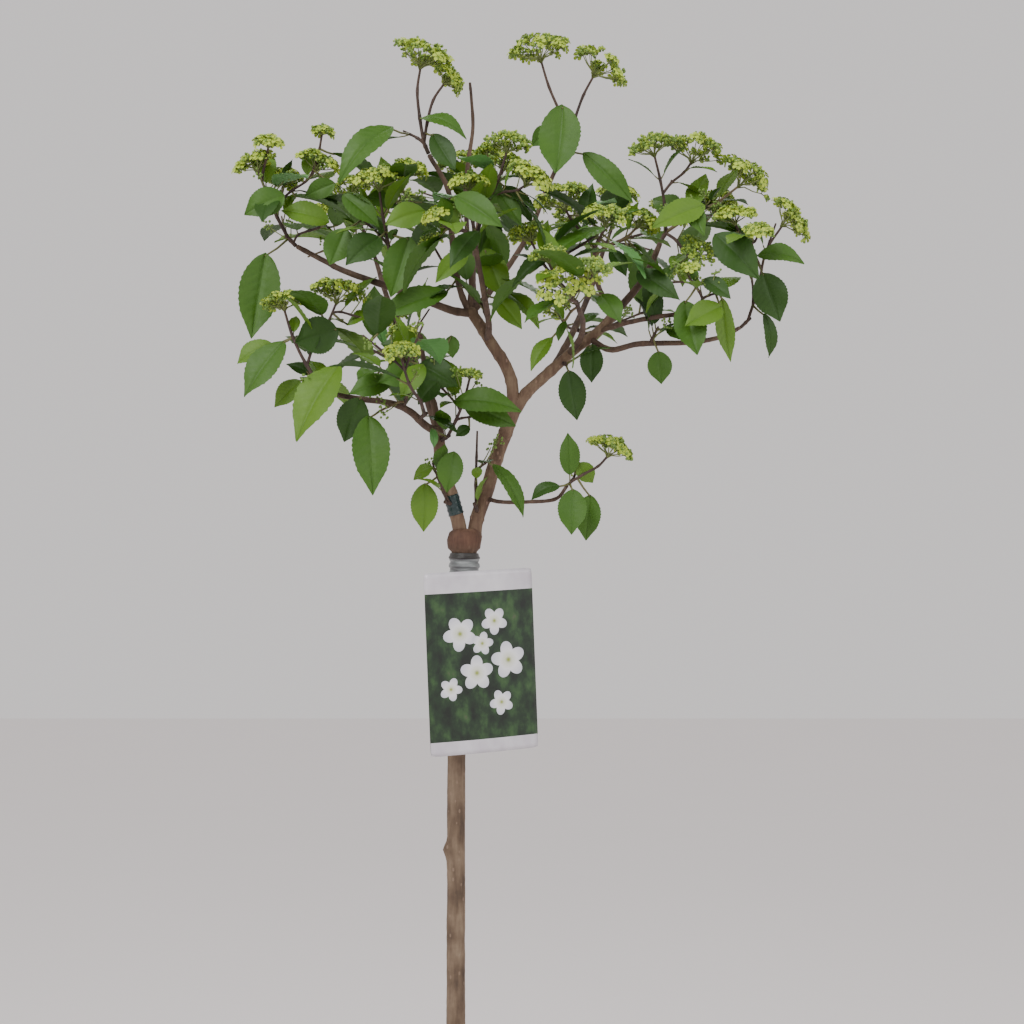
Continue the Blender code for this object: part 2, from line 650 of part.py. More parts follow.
class Mass:
    """One mass of foliage while it grows: its twigs so far, and the pieces that will be fused."""

    def __init__(self, name, plan):
        self.name = name
        self.limb, self.share, self.shoots, self.leaves, self.more = plan
        self.rng = random.Random(f"{SEEDS.get(name, SEED)} {name}")
        self.nodes = []
        self.pieces = []
        self.trees = []

    def free(self, piece):
        verts, faces = piece
        tree = BVHTree.FromPolygons(verts, faces)
        for other in limb_trees:
            if tree.overlap(other):
                return False
        low = [min(v[i] for v in verts) - GAP for i in range(3)]
        high = [max(v[i] for v in verts) + GAP for i in range(3)]
        for box, other in placed:
            if all(low[i] < box[1][i] and high[i] > box[0][i] for i in range(3)) and tree.overlap(other):
                return False
        return True

    def clear_of_own(self, piece):
        """Whether a leaf's blade, or a head, misses every piece that the mass has so far."""
        verts, faces = piece
        if len(verts) == LEAF_POINTS:
            verts = verts[6:]
            faces = [tuple(i - 6 for i in face) for face in faces if min(face) >= 6]
        tree = BVHTree.FromPolygons(verts, faces)
        return not any(tree.overlap(other) for box, other in self.trees)

    def add(self, piece):
        verts, faces = piece
        low = [min(v[i] for v in verts) for i in range(3)]
        high = [max(v[i] for v in verts) for i in range(3)]
        self.pieces.append(piece)
        self.trees.append(((low, high), BVHTree.FromPolygons(verts, faces)))

    def add_twig(self, line, radii, run=0):
        """Adds a twig. run is how far its start is from the mass's own, along the twigs."""
        self.add(tube(line, radii, 3))
        along = directions(line)
        for i in range(len(line) - 1):
            step = (line[i + 1] - line[i]).length
            self.nodes.append((line[i], along[i], radii[i], run))
            self.nodes.append((line[i].lerp(line[i + 1], 0.5), along[i], radii[i], run + step / 2))
            run += step

    def begin(self):
        limb = limbs[self.limb]
        point, along, radius = limb.at(self.share)
        goals = [seen(*shoot[:3]) for shoot in self.shoots]
        goals += [seen(*leaf[:3]) for leaf in self.leaves]
        centre = sum(goals, Vector()) / len(goals)
        if self.share == 1:
            out, start = along, point + along * (0.55 * radius + GAP)
            size = min(radius * 0.95, TWIG_RADIUS * 1.15)
        else:
            out = centre - point
            out = (out - along * out.dot(along)).normalized()
            start = point + out * (radius + GAP)
            size = TWIG_RADIUS * 1.1
        reach = min(12 * MM, 0.35 * (centre - start).length)
        line = bend(start, out, start + out * reach * 0.7 + (centre - start).normalized() * reach * 0.3, out, 2)
        self.add_twig(line, [size, size * 0.97, size * 0.94])

    def joint_for(self, goal):
        """The best place on the twigs so far for a new one: near, and not behind it."""
        def cost(node):
            step = goal - node[0]
            turn = node[1].dot(step.normalized()) if step.length else 1
            return step.length * (1.5 - 0.5 * turn) + 0.45 * node[3]

        return sorted(self.nodes[1:], key=cost)[:6]

    def add_shoot(self, across, up, depth, head, lean=0):
        shifts = (0, -7, 7, -14, 14, -22, 22, 30)
        for strict, shift in [(True, shift) for shift in shifts] + [(False, shift) for shift in shifts]:
            goal = seen(across, up, depth + shift)
            size = head * MM * (1 + depth * MM / EYE_DISTANCE)
            for joint in self.joint_for(goal):
                outward = (goal - joint[0]).normalized()
                rise = (outward + Vector((0, 0, 1.2))).normalized() if head else outward
                rise = Quaternion((0, 1, 0), math.radians(lean)) @ rise
                hub = goal - rise * 0.3 * size if head else goal
                parts = [head_piece(goal, rise, size, self.rng)] if head else []
                leaving = (joint[1] + outward * 1.6).normalized()
                line = bend(joint[0] - leaving * 0.3 * joint[2], leaving, hub, rise, 3)
                n = len(line) - 1
                first = max(joint[2] * 0.92, TWIG_TIP_RADIUS)
                last = TWIG_TIP_RADIUS * (1.0 if head else 0.8)
                radii = [first + (last - first) * i / n for i in range(n + 1)]
                twig = tube(line, radii, 3)
                if strict and not all(self.clear_of_own(part) for part in parts):
                    continue
                if self.free(twig) and all(self.free(part) for part in parts):
                    self.add_twig(line, radii, joint[3])
                    for part in parts:
                        self.add(part)
                    return line
        return None

    def add_leaf(self, base, tip, facing, width, arch, strict=True, longest=26 * MM):
        """Adds a leaf on the nearest twig, with a thin twig of its own where that is far off."""
        near = sorted(self.nodes[1:], key=lambda node: (node[0] - base).length)[:5]
        for point, along, radius, run in near:
            far = (base - point).length
            way = (base - point if far > 3 * MM else tip - base).normalized()
            root = point - way * 0.3 * radius
            if far <= longest:
                piece = leaf_piece(root, base, tip, facing, width, arch)
                if (not strict or self.clear_of_own(piece)) and self.free(piece):
                    self.add(piece)
                    return True
                continue
            stop = point.lerp(base, 1 - 8 * MM / far)
            out = (stop - point).normalized()
            line = bend(root, (along + out).normalized(), stop, out, 3)
            radii = [TWIG_TIP_RADIUS * 1.1, TWIG_TIP_RADIUS * 1.05, TWIG_TIP_RADIUS, TWIG_TIP_RADIUS]
            piece = leaf_piece(stop - out * 0.8 * MM, base, tip, facing, width, arch)
            if strict and not self.clear_of_own(piece):
                continue
            if self.free(tube(line, radii, 3)) and self.free(piece):
                self.add_twig(line, radii, run)
                self.add(piece)
                return True
        return False

    def add_set_leaf(self, spec):
        x0, z0, d0, x1, z1, d1, width, roll, arch = spec
        eye = seen(31, 10, -1300)
        shifts = (0, -6, 6, -12, 12, -20, 20, -30, 30)
        for strict, shift in [(True, shift) for shift in shifts] + [(False, shift) for shift in shifts]:
            base, tip = seen(x0, z0, d0 + shift), seen(x1, z1, d1 + shift)
            axis = (tip - base).normalized()
            toward = (eye - base).normalized()
            facing = Quaternion(axis, math.radians(-roll if axis.x > 0 else roll)) @ toward
            scale = MM * (1 + (d0 + shift) * MM / EYE_DISTANCE)
            wide = width * scale / max(math.cos(math.radians(roll)), 0.5)
            lift = arch * scale * (1 if facing.z > -0.05 else -1)
            if self.add_leaf(base, tip, facing, wide, lift, strict):
                return

    def add_pairs(self, line):
        """More leaves by rule, in opposite pairs down the shoot, each pair square to the last."""
        along = directions(line)
        side = along[0].orthogonal().normalized()
        for pair in range(self.more):
            i = max(1, len(line) - 2 - pair)
            out = Quaternion(along[i], self.rng.uniform(0.9, 1.7) * pair + self.rng.uniform(0, 3)) @ side
            out = (out - along[i] * out.dot(along[i])).normalized()
            for sign in (1, -1):
                away = (out * sign + along[i] * 0.5 + Vector((0, 0, self.rng.uniform(-0.7, -0.1)))).normalized()
                length = self.rng.uniform(34, 50) * MM
                base = line[i] + away * self.rng.uniform(6, 11) * MM
                tip = base + (away + Vector((0, 0, -0.35))).normalized() * length
                up = Vector((0, 0, 1)) + away * 0.2
                if self.in_gap(base, tip) or not self.in_room(tip):
                    continue
                self.add_leaf(base, tip, up, length * 0.5, length * 0.08)

    def in_gap(self, base, tip):
        for share in (0.3, 0.65, 1):
            across, up = in_view(base.lerp(tip, share))
            for x, z, wide, high in SKY_GAPS:
                if ((across - x) / wide) ** 2 + ((up - z) / high) ** 2 < 1.6:
                    return True
        return False

    def in_room(self, tip):
        """Whether the point is inside the crown's bowl, which widens from the fork to the flower heads."""
        across, up = in_view(tip)
        if up < 20 or up > 262:
            return False
        middle = -31 + 0.25 * up
        reach = min(1, (up + 30) / 190) * 178
        return ((across - middle) / reach) ** 2 + (tip.y / (0.95 * reach * MM)) ** 2 < 1

    def grow(self):
        self.begin()
        lines = [self.add_shoot(*shoot) for shoot in self.shoots]
        for spec in self.leaves:
            self.add_set_leaf(spec)
        for line in lines:
            if line:
                self.add_pairs(line)
        self.fuse()

    def fuse(self):
        """Joins the pieces into one solid."""
        look = material(self.name, COLOURS["leaf"], 0.6)
        batch = bpy.data.collections.new("batch")
        bpy.context.scene.collection.children.link(batch)
        verts, faces = self.pieces[0]
        made = new_object(self.name, verts, faces, look)
        for verts, faces in self.pieces[1:]:
            other = new_object("piece", verts, faces, None)
            bpy.context.collection.objects.unlink(other)
            batch.objects.link(other)
        carry_out(made, "UNION", collection=batch, solver="MANIFOLD")
        keep_largest(made)
        placed.extend(self.trees)
        print(f"{self.name}: {len(self.pieces)} pieces")


placed = []


def make_tie():
    """Three turns of tape round the trunk, below the knuckle."""
    profile = [(10.3, 32.5), (10.5, 28), (9.9, 27), (10.7, 25.5), (10.6, 21.5), (9.9, 20.5), (10.3, 18.4)]
    sides = 14
    verts, faces = [], []
    section = [*profile, (9.3, 18.2), (9.2, 32.5)]
    for radius, below in section:
        for k in range(sides):
            turn = 2 * math.pi * k / sides
            verts.append((
                FORK_ACROSS - 1.9 * MM + radius * MM * math.cos(turn), radius * MM * math.sin(turn),
                FORK_Z - below * MM,
            ))
    n = len(section)
    for i in range(n):
        for k in range(sides):
            j = (k + 1) % sides
            a, b = i * sides, ((i + 1) % n) * sides
            faces.append((a + k, a + j, b + j, b + k))
    new_object("trunk_tie", verts, faces, material("trunk_tie", COLOURS["tie"], 0.6), smooth=True)


def make_card():
    """The hanging card and the strap that carries it."""
    centre = seen(10, -93, -26)
    turn = Matrix.Rotation(math.radians(CARD_TURN), 3, "Z") @ Matrix.Rotation(math.radians(CARD_TILT), 3, "Y")
    columns = 9
    verts, faces = [], []
    for k in range(columns):
        x = (k / (columns - 1) - 0.5) * CARD_WIDTH
        bow = -CARD_BOW * (1 - (2 * x / CARD_WIDTH) ** 2)
        for y in (bow - CARD_THICKNESS / 2, bow + CARD_THICKNESS / 2):
            for z in (-CARD_HEIGHT / 2, CARD_HEIGHT / 2):
                verts.append(centre + turn @ Vector((x, y, z)))
    for k in range(columns - 1):
        a, b = 4 * k, 4 * k + 4
        faces += [
            (a, b, b + 1, a + 1), (a + 3, b + 3, b + 2, a + 2), (a + 1, b + 1, b + 3, a + 3), (a + 2, b + 2, b, a),
        ]
    faces += [(0, 1, 3, 2), (4 * columns - 4, 4 * columns - 2, 4 * columns - 1, 4 * columns - 3)]
    new_object("card", verts, faces, material("card", COLOURS["card"], 0.4))
    back = centre + turn @ Vector((0, 0, CARD_HEIGHT / 2 - 9 * MM))
    outward = turn @ Vector((0, 1, 0))
    trunk = Vector((FORK_ACROSS - 2 * MM, 0, back.z))
    ends = [back + turn @ Vector((side * 3 * MM, 0, 0)) + outward * (GAP - 1.6 * MM) for side in (-1, 1)]
    path = [ends[0]]
    for step in range(9):
        angle = math.radians(250 - 320 * step / 8)
        path.append(trunk + Vector((math.cos(angle), math.sin(angle), 0)) * STRAP_RADIUS)
    path.append(ends[1])
    along = directions(path)
    rings = []
    for point, heading in zip(path, along):
        out = Vector((heading.y, -heading.x, 0)).normalized() * STRAP_THICKNESS / 2
        high = Vector((0, 0, STRAP_WIDTH / 2))
        rings.append([point - out - high, point + out - high, point + out + high, point - out + high])
    verts, faces = rings_solid(rings)
    new_object("card_strap", verts, faces, material("card_strap", COLOURS["strap"], 0.2), smooth=True)


clear_scene()
make_pot()
make_trunk()
make_limbs()
make_tie()
make_card()
for name, plan in MASSES.items():
    mass = Mass(name, plan)
    mass.grow()
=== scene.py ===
import math
import random

import bmesh
import bpy
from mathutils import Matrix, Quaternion, Vector, noise
from mathutils.bvhtree import BVHTree


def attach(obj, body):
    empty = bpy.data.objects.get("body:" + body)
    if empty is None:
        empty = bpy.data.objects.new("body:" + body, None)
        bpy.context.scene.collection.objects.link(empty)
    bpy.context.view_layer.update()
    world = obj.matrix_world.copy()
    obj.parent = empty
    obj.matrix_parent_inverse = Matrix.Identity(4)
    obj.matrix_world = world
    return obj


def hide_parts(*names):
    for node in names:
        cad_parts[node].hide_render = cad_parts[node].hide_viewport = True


# A young lacecap shrub grown as a half-standard in a plain nursery pot. Metres, +Z up, front at -Y.

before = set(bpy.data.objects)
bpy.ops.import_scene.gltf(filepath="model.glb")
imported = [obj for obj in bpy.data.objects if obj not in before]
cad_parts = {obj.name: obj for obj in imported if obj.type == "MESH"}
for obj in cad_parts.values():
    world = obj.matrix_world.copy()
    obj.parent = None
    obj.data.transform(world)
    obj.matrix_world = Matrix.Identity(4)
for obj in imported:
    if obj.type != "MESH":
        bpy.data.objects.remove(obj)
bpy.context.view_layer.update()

mm = 0.001
gap = 0.3 * mm
commonSeed = 11
soilTop = 190 * mm
forkAcross = 11.7 * mm  # the trunk leans this far by its fork
forkZ = soilTop + 600 * mm
eyeDistance = 1300 * mm
eyeAcross = 31 * mm  # the eye is level, this far to the right of the fork and above it
eyeUp = 10 * mm
eye = Vector((forkAcross + eyeAcross, -eyeDistance, forkZ + eyeUp))
twigRadius = 1.35 * mm
twigTipRadius = 0.85 * mm
leafPoints = 13

# Limbs: (across, up, depth) points in millimetres, first and last radius.
limbPlans = {
    "left_stem": ([
        (-4, -10, 0), (-6, 3, -1), (-9, 14, -2), (-12, 26, -4), (-18, 46, -7), (-20, 67, -9),
    ], 5.2, 4.1),
    "right_stem": ([
        (5, -8, 1), (6, 2, 2), (9, 12, 3), (14, 26, 5), (21, 50, 7), (26, 63, 7), (33, 82, 6),
    ], 5.0, 4.8),
    "centre_limb": ([
        (32, 79, 6), (31, 98, 5), (26, 112, 3), (17, 126, 1), (9, 139, -1), (2, 149, -2),
    ], 4.4, 3.7),
    "right_limb": ([
        (33, 80, 6), (41, 92, 6), (54, 104, 5), (73, 121, 3), (92, 136, 1), (103, 149, 0),
    ], 4.4, 3.1),
    "upper_left_limb": ([
        (3, 147, -2), (-10, 149, -6), (-29, 156, -10), (-53, 165, -10), (-84, 176, 0), (-98, 183, 6),
        (-117, 193, 10),
    ], 3.0, 1.7),
    "top_left_limb": ([
        (1, 148, -2), (-6, 168, -5), (-11, 205, -9), (-13, 232, -12), (-26, 256, -15),
    ], 2.4, 1.6),
    "top_twig": ([
        (2, 148, -2), (3, 170, 3), (1, 191, 6), (-1, 228, 9), (1, 253, 11), (4, 275, 12), (3, 295, 12),
        (2, 306, 12),
    ], 2.2, 0.9),
    "top_right_limb": ([
        (3, 147, -2), (15, 161, 4), (31, 183, 12), (44, 205, 20), (53, 228, 26), (66, 257, 30),
    ], 2.3, 1.5),
    "right_top_limb": ([
        (102, 147, 0), (119, 167, 6), (127, 181, 13), (133, 195, 20),
    ], 2.8, 1.9),
    "right_inner_limb": ([
        (100, 145, 0), (93, 160, -8), (89, 172, -14), (88, 184, -18),
    ], 2.1, 1.5),
    "right_low_limb": ([
        (84, 130, 2), (99, 122, -6), (119, 126, -13), (154, 127, -14), (176, 131, -8), (188, 137, 0),
    ], 2.3, 1.4),
    "right_mid_limb": ([
        (91, 135, 1), (108, 140, -10), (127, 144, -22), (152, 148, -32), (161, 155, -35),
    ], 2.0, 1.3),
    "low_right_twig": ([
        (12, 20, 4), (23, 17, -4), (43, 17, -14), (61, 19, -20), (69, 28, -22),
    ], 1.5, 1.2),
    "left_limb": ([
        (-19, 64, -9), (-29, 70, -14), (-39, 79, -20), (-52, 85, -25), (-74, 88, -28), (-91, 91, -30),
    ], 3.0, 1.7),
    "left_up_limb": ([
        (-20, 63, -9), (-22, 81, -7), (-26, 95, -4), (-30, 115, 0), (-32, 132, 3),
    ], 2.6, 1.5),
    "back_left_limb": ([
        (-17, 54, -7), (-25, 80, 12), (-38, 120, 42), (-54, 155, 78), (-63, 184, 104),
    ], 2.8, 1.7),
    "back_limb": ([
        (6, 142, 0), (4, 168, 26), (6, 194, 64), (8, 212, 98),
    ], 2.4, 1.6),
    "back_right_limb": ([
        (60, 110, 5), (71, 130, 26), (84, 160, 68), (94, 190, 108),
    ], 2.8, 1.7),
    "front_limb": ([
        (14, 129, 0), (15, 140, -18), (11, 164, -50), (6, 192, -78),
    ], 2.5, 1.6),
    "front_right_limb": ([
        (70, 118, 4), (78, 130, -14), (80, 141, -42), (77, 150, -72),
    ], 2.4, 1.6),
}

# Masses of foliage: the limb that carries it, how far along, the shoots as (across, up, depth, radius
# of the flower head or 0), the leaves as (across, up, depth) of base and tip, width, roll and arch,
# and how many more pairs of leaves the rule gives each shoot.
massPlans = {
    "west_top_foliage": ("upper_left_limb", 1.0, [
        (-146, 250, -5, 14, -10), (-137, 264, -16, 8), (-126, 239, 20, 11), (-103, 250, 8, 14),
        (-100, 272, 2, 6),
        (-128, 214, 35, 0),
    ], [
        (-139, 189, -2, -149, 129, -10, 28, 0, 0), (-126, 229, -22, -154, 215, -26, 20, 20, 3),
        (-95, 210, -14, -129, 218, -12, 16, 30, 4), (-91, 237, 0, -112, 228, 4, 14, 10, 2),
    ], 1),
    "west_inner_foliage": ("upper_left_limb", 0.5, [
        (-61, 238, -42, 17), (-39, 245, -30, 11), (-76, 215, -20, 0),
    ], [
        (-86, 229, -32, -60, 206, -38, 15, 20, 3), (-29, 218, -50, -57, 208, -56, 18, 20, 3),
        (-84, 206, -30, -95, 180, -40, 20, 10, 2), (-40, 200, -40, -53, 158, -55, 24, 10, 3),
        (-60, 200, -36, -84, 180, -50, 20, 20, 3), (-48, 222, -28, -72, 226, -34, 12, 40, 3),
    ], 1),
    "west_low_foliage": ("left_limb", 1.0, [
        (-127, 154, -24, 14), (-89, 160, -16, 18), (-112, 108, -5, 0),
    ], [
        (-89, 136, -24, -119, 127, -36, 26, 0, 3), (-126, 128, -24, -154, 89, -34, 20, 35, 3),
        (-134, 126, -18, -159, 112, -20, 13, 40, 3), (-83, 139, -10, -64, 144, -14, 8, 55, 4),
        (-66, 143, -14, -57, 124, -18, 9, 45, 2), (-115, 101, -16, -133, 82, -16, 14, 20, 2),
        (-88, 112, -34, -118, 58, -50, 25, 35, 5), (-106, 104, -8, -125, 112, -6, 8, 40, 2),
    ], 1),
    "west_low_inner_foliage": ("left_limb", 0.5, [
        (-45, 133, -44, 8), (-64, 110, -40, 0),
    ], [
        (-74, 89, -36, -85, 58, -36, 22, 0, 1), (-68, 77, -36, -65, 21, -48, 26, 5, 3),
        (-52, 100, -40, -82, 91, -46, 16, 30, 3), (-34, 106, -46, -62, 99, -56, 17, 25, 3),
        (-38, 120, -46, -60, 126, -48, 14, 30, 2), (-30, 112, -52, -46, 88, -62, 15, 20, 2),
    ], 0),
    "low_west_foliage": ("left_stem", 0.45, [
        (-24, 44, -14, 0),
    ], [
        (-29, 30, -14, -30, -4, -16, 19, 0, 1), (-23, 41, -14, -37, 32, -10, 9, 40, 2),
        (-9, 52, -24, -14, 23, -28, 18, 10, 2),
    ], 0),
    "centre_low_foliage": ("left_stem", 0.93, [
        (2, 104, -34, 7), (-14, 92, -34, 0), (6, 76, -30, 0),
    ], [
        (-33, 112, -28, -6, 96, -36, 20, 15, 3), (-10, 86, -40, 38, 79, -44, 17, 30, 9),
        (-2, 84, -32, 34, 69, -36, 17, 20, 3), (2, 69, -26, -8, 62, -28, 8, 20, 1),
        (-24, 68, -24, -23, 54, -26, 6, 30, 1), (-11, 132, -26, -10, 116, -26, 11, 0, 0),
        (-20, 100, -38, -34, 84, -44, 14, 20, 2),
    ], 0),
    "low_middle_foliage": ("right_stem", 0.3, [
        (7, 66, -12, 0), (16, 46, -14, 0),
    ], [
        (18, 43, -14, 39, 6, -22, 11, 40, 5),
    ], 0),
    "low_east_foliage": ("low_right_twig", 1.0, [
        (99, 53, -28, 15), (75, 39, -14, 7),
    ], [
        (64, 28, -24, 44, 18, -22, 9, 40, 5), (76, 44, -20, 87, 30, -16, 13, 10, 2),
        (73, 26, -26, 72, -6, -32, 20, 0, 1), (85, 22, -18, 82, -10, -16, 18, 10, 1),
    ], 0),
    "top_west_foliage": ("top_left_limb", 1.0, [
        (-30, 323, -22, 20, 20), (-13, 308, -14, 12, 40), (-44, 273, -6, 0),
    ], [
        (-51, 276, -26, -89, 236, -44, 18, 35, 10), (-32, 282, -20, 0, 267, -28, 9, 50, 7),
        (-24, 271, -24, -8, 246, -32, 16, 10, 2),
    ], 0),
    "top_east_foliage": ("top_right_limb", 1.0, [
        (50, 328, 24, 20), (91, 316, 34, 20, 25),
    ], [
        (66, 291, 20, 61, 243, 2, 29, 10, 3), (80, 258, 22, 115, 223, 16, 17, 15, 4),
        (60, 276, 34, 44, 262, 42, 12, 20, 2),
    ], 0),
    "front_top_foliage": ("front_limb", 1.0, [
        (28, 263, -74, 15), (43, 240, -86, 17), (14, 258, -58, 7), (1, 236, -94, 12), (-22, 214, -100, 8),
    ], [
        (-8, 228, -100, 25, 206, -118, 19, 15, 4), (22, 230, -78, 38, 207, -84, 12, 20, 2),
        (-5, 229, -84, -18, 201, -96, 14, 10, 3), (8, 204, -96, -12, 178, -112, 15, 30, 3),
    ], 1),
    "centre_foliage": ("front_limb", 0.35, [
        (-24, 196, -30, 8), (16, 182, -26, 0),
    ], [
        (12, 192, -32, 26, 157, -44, 20, 10, 3), (20, 158, -30, 38, 136, -34, 14, 15, 3),
        (26, 162, -22, 50, 136, -26, 11, 45, 5), (-13, 162, -34, -63, 143, -46, 17, 30, 5),
        (0, 190, -38, -22, 168, -48, 14, 25, 2),
    ], 1),
    "front_east_foliage": ("front_right_limb", 1.0, [
        (70, 166, -104, 22), (55, 186, -84, 12), (43, 201, -66, 13), (88, 178, -120, 11),
    ], [
        (95, 206, -76, 53, 182, -92, 10, 62, 4), (64, 192, -72, 31, 165, -84, 10, 58, 3),
        (59, 131, -60, 44, 107, -66, 10, 45, 2), (92, 160, -104, 106, 140, -116, 15, 25, 3),
    ], 1),
    "east_upper_foliage": ("right_inner_limb", 1.0, [
        (66, 225, -18, 20), (96, 213, -38, 16), (119, 210, -16, 13),
    ], [
        (99, 191, -30, 110, 172, -36, 11, 20, 2), (80, 205, -10, 62, 196, 4, 14, 40, 2),
    ], 1),
    "east_top_foliage": ("right_top_limb", 1.0, [
        (128, 261, 12, 16, -10), (157, 258, 26, 21), (192, 240, 16, 20, 15), (158, 190, -10, 12),
        (175, 222, 44, 12),
    ], [
        (164, 222, -14, 127, 206, -30, 18, 25, 3), (146, 226, -6, 164, 200, -26, 15, 30, 3),
        (148, 216, 34, 128, 226, 52, 15, 30, 3),
    ], 1),
    "far_east_foliage": ("right_low_limb", 1.0, [
        (222, 211, 2, 17, 45), (184, 213, -18, 13), (201, 203, -30, 9), (213, 209, -12, 0),
        (196, 176, 30, 0),
    ], [
        (171, 202, -26, 202, 170, -40, 24, 15, 4), (200, 187, -8, 233, 181, -12, 12, 40, 7),
        (204, 175, -8, 216, 141, -12, 24, 0, 1), (205, 147, -4, 208, 116, 4, 9, 40, 5),
    ], 1),
    "east_foliage": ("right_mid_limb", 1.0, [
        (152, 176, -44, 8), (176, 162, -34, 0), (134, 168, -40, 0),
    ], [
        (150, 156, -42, 159, 118, -54, 22, 15, 3), (176, 152, -38, 150, 138, -52, 18, 20, 3),
        (176, 158, -28, 182, 113, -34, 13, 20, 3), (163, 171, -34, 182, 157, -44, 12, 30, 2),
        (117, 176, -34, 147, 156, -50, 16, 20, 3),
    ], 0),
    "east_hanging_foliage": ("right_limb", 0.52, [], [
        (70, 108, -6, 76, 73, -10, 19, 0, 1), (86, 126, -10, 86, 99, -14, 16, 10, 1),
    ], 0),
    "east_low_foliage": ("right_low_limb", 0.45, [
        (132, 138, -22, 0),
    ], [
        (132, 121, -16, 134, 98, -18, 17, 5, 1), (137, 136, -22, 155, 128, -26, 9, 35, 2),
    ], 0),
    "back_west_foliage": ("back_left_limb", 1.0, [
        (-80, 232, 124, 14), (-102, 214, 92, 12), (-48, 226, 150, 14), (-64, 196, 160, 0),
        (-110, 186, 112, 0),
    ], [], 2),
    "back_foliage": ("back_limb", 1.0, [
        (-6, 250, 126, 14), (26, 250, 104, 13), (10, 226, 166, 13), (-30, 230, 110, 0), (24, 206, 150, 0),
    ], [], 2),
    "back_east_foliage": ("back_right_limb", 1.0, [
        (104, 228, 134, 14), (74, 214, 152, 13), (138, 216, 96, 13), (130, 190, 138, 0), (96, 190, 168, 0),
    ], [], 2),
    "back_low_west_foliage": ("back_left_limb", 0.45, [
        (-78, 128, 64, 0), (-50, 146, 104, 9), (-26, 150, 74, 0),
    ], [], 2),
    "back_low_east_foliage": ("back_right_limb", 0.42, [
        (62, 150, 92, 9), (110, 148, 80, 0), (132, 152, 52, 0),
    ], [], 2),
    "front_west_foliage": ("left_limb", 0.3, [
        (-46, 120, -92, 10), (-72, 132, -96, 0), (-30, 140, -100, 0),
    ], [], 1),
}

# Holes in the crown where the backdrop shows, as (across, up, half width, half height).
skyGaps = [
    (-108, 174, 20, 10), (-125, 118, 6, 20), (-74, 138, 6, 9), (-16, 136, 11, 11), (46, 112, 16, 18),
    (70, 234, 8, 12), (22, 304, 22, 20), (136, 236, 8, 10), (206, 222, 8, 8), (4, 118, 9, 14),
    (8, 70, 5, 20), (-100, 30, 30, 30), (110, 85, 40, 25), (-150, 160, 14, 14),
]

# Trunk rings as (millimetres below the fork, across from the fork, radius, lobes).
trunkRingPlan = [
    (599.7, -11.7, 13.0, 0.24), (596, -11.7, 11.4, 0.22), (588, -11.6, 9.6, 0.14), (572, -11.3, 8.2, 0.07),
    (530, -10.6, 7.3, 0.02), (440, -9.2, 6.9, 0), (343, -7.8, 6.5, 0), (250, -7.6, 6.3, 0), (228, -7.7, 6.3, 0),
    (223, -7.8, 6.4, 0), (217, -7.7, 6.3, 0), (161, -7.4, 6.2, 0), (90, -5.2, 6.3, 0), (50, -3.2, 7.2, 0),
    (33, -2.2, 8.4, 0), (25, -1.9, 8.6, 0), (17.5, -1.8, 8.7, 0), (15, -1.8, 10.6, 0.04), (9, -1.8, 11.4, 0.05),
    (4, -1.6, 10.4, 0.04), (1.5, -1.4, 7.4, 0),
]
knotBelow = 223  # the knot on the trunk, below the fork in millimetres
knotOut = 2.6 * mm

massSeeds = {"back_foliage": 12, "west_low_foliage": 13}  # the others grow from commonSeed


def seen(across, up, depth):
    # The place of a point that the eye sees at (across, up) of the fork, so far behind it, in millimetres.
    reach = 1 + depth * mm / eyeDistance
    return Vector((
        forkAcross + eyeAcross + (across * mm - eyeAcross) * reach,
        depth * mm,
        forkZ + eyeUp + (up * mm - eyeUp) * reach,
    ))


def inView(point):
    # The other way round: where the eye sees a place, in millimetres from the fork.
    reach = 1 + point.y / eyeDistance
    across = (point.x - forkAcross - eyeAcross) / reach + eyeAcross
    up = (point.z - forkZ - eyeUp) / reach + eyeUp
    return across / mm, up / mm


def through(points, steps):
    # A smooth curve through all the points.
    ends = [points[0] * 2 - points[1], *points, points[-1] * 2 - points[-2]]
    line = []
    for i in range(1, len(ends) - 2):
        a, b, c, d = ends[i - 1 : i + 3]
        for step in range(steps):
            t = step / steps
            second, third = 2 * a - 5 * b + 4 * c - d, 3 * b - 3 * c + d - a
            line.append(0.5 * (2 * b + (c - a) * t + second * t * t + third * t**3))
    return [*line, points[-1].copy()]


def directions(line):
    found = []
    for i in range(len(line)):
        step = line[min(i + 1, len(line) - 1)] - line[max(i - 1, 0)]
        found.append(step.normalized())
    return found


def bend(start, leaving, end, arriving, steps):
    # A curve between two points that leaves and arrives in the given directions.
    reach = (end - start).length
    a, b = leaving * reach * 0.9, arriving * reach * 0.9
    line = []
    for i in range(steps + 1):
        t = i / steps
        line.append(
            start * (2 * t**3 - 3 * t**2 + 1) + a * (t**3 - 2 * t**2 + t)
            + end * (3 * t**2 - 2 * t**3) + b * (t**3 - t**2)
        )
    return line


def ringFaces(rings, sides):
    faces = []
    for i in range(rings - 1):
        for k in range(sides):
            j = (k + 1) % sides
            faces.append((i * sides + k, i * sides + j, (i + 1) * sides + j, (i + 1) * sides + k))
    return faces


def cappedRings(rings, sides):
    last = (rings - 1) * sides
    return [tuple(range(sides))[::-1], *ringFaces(rings, sides), tuple(range(last, last + sides))]


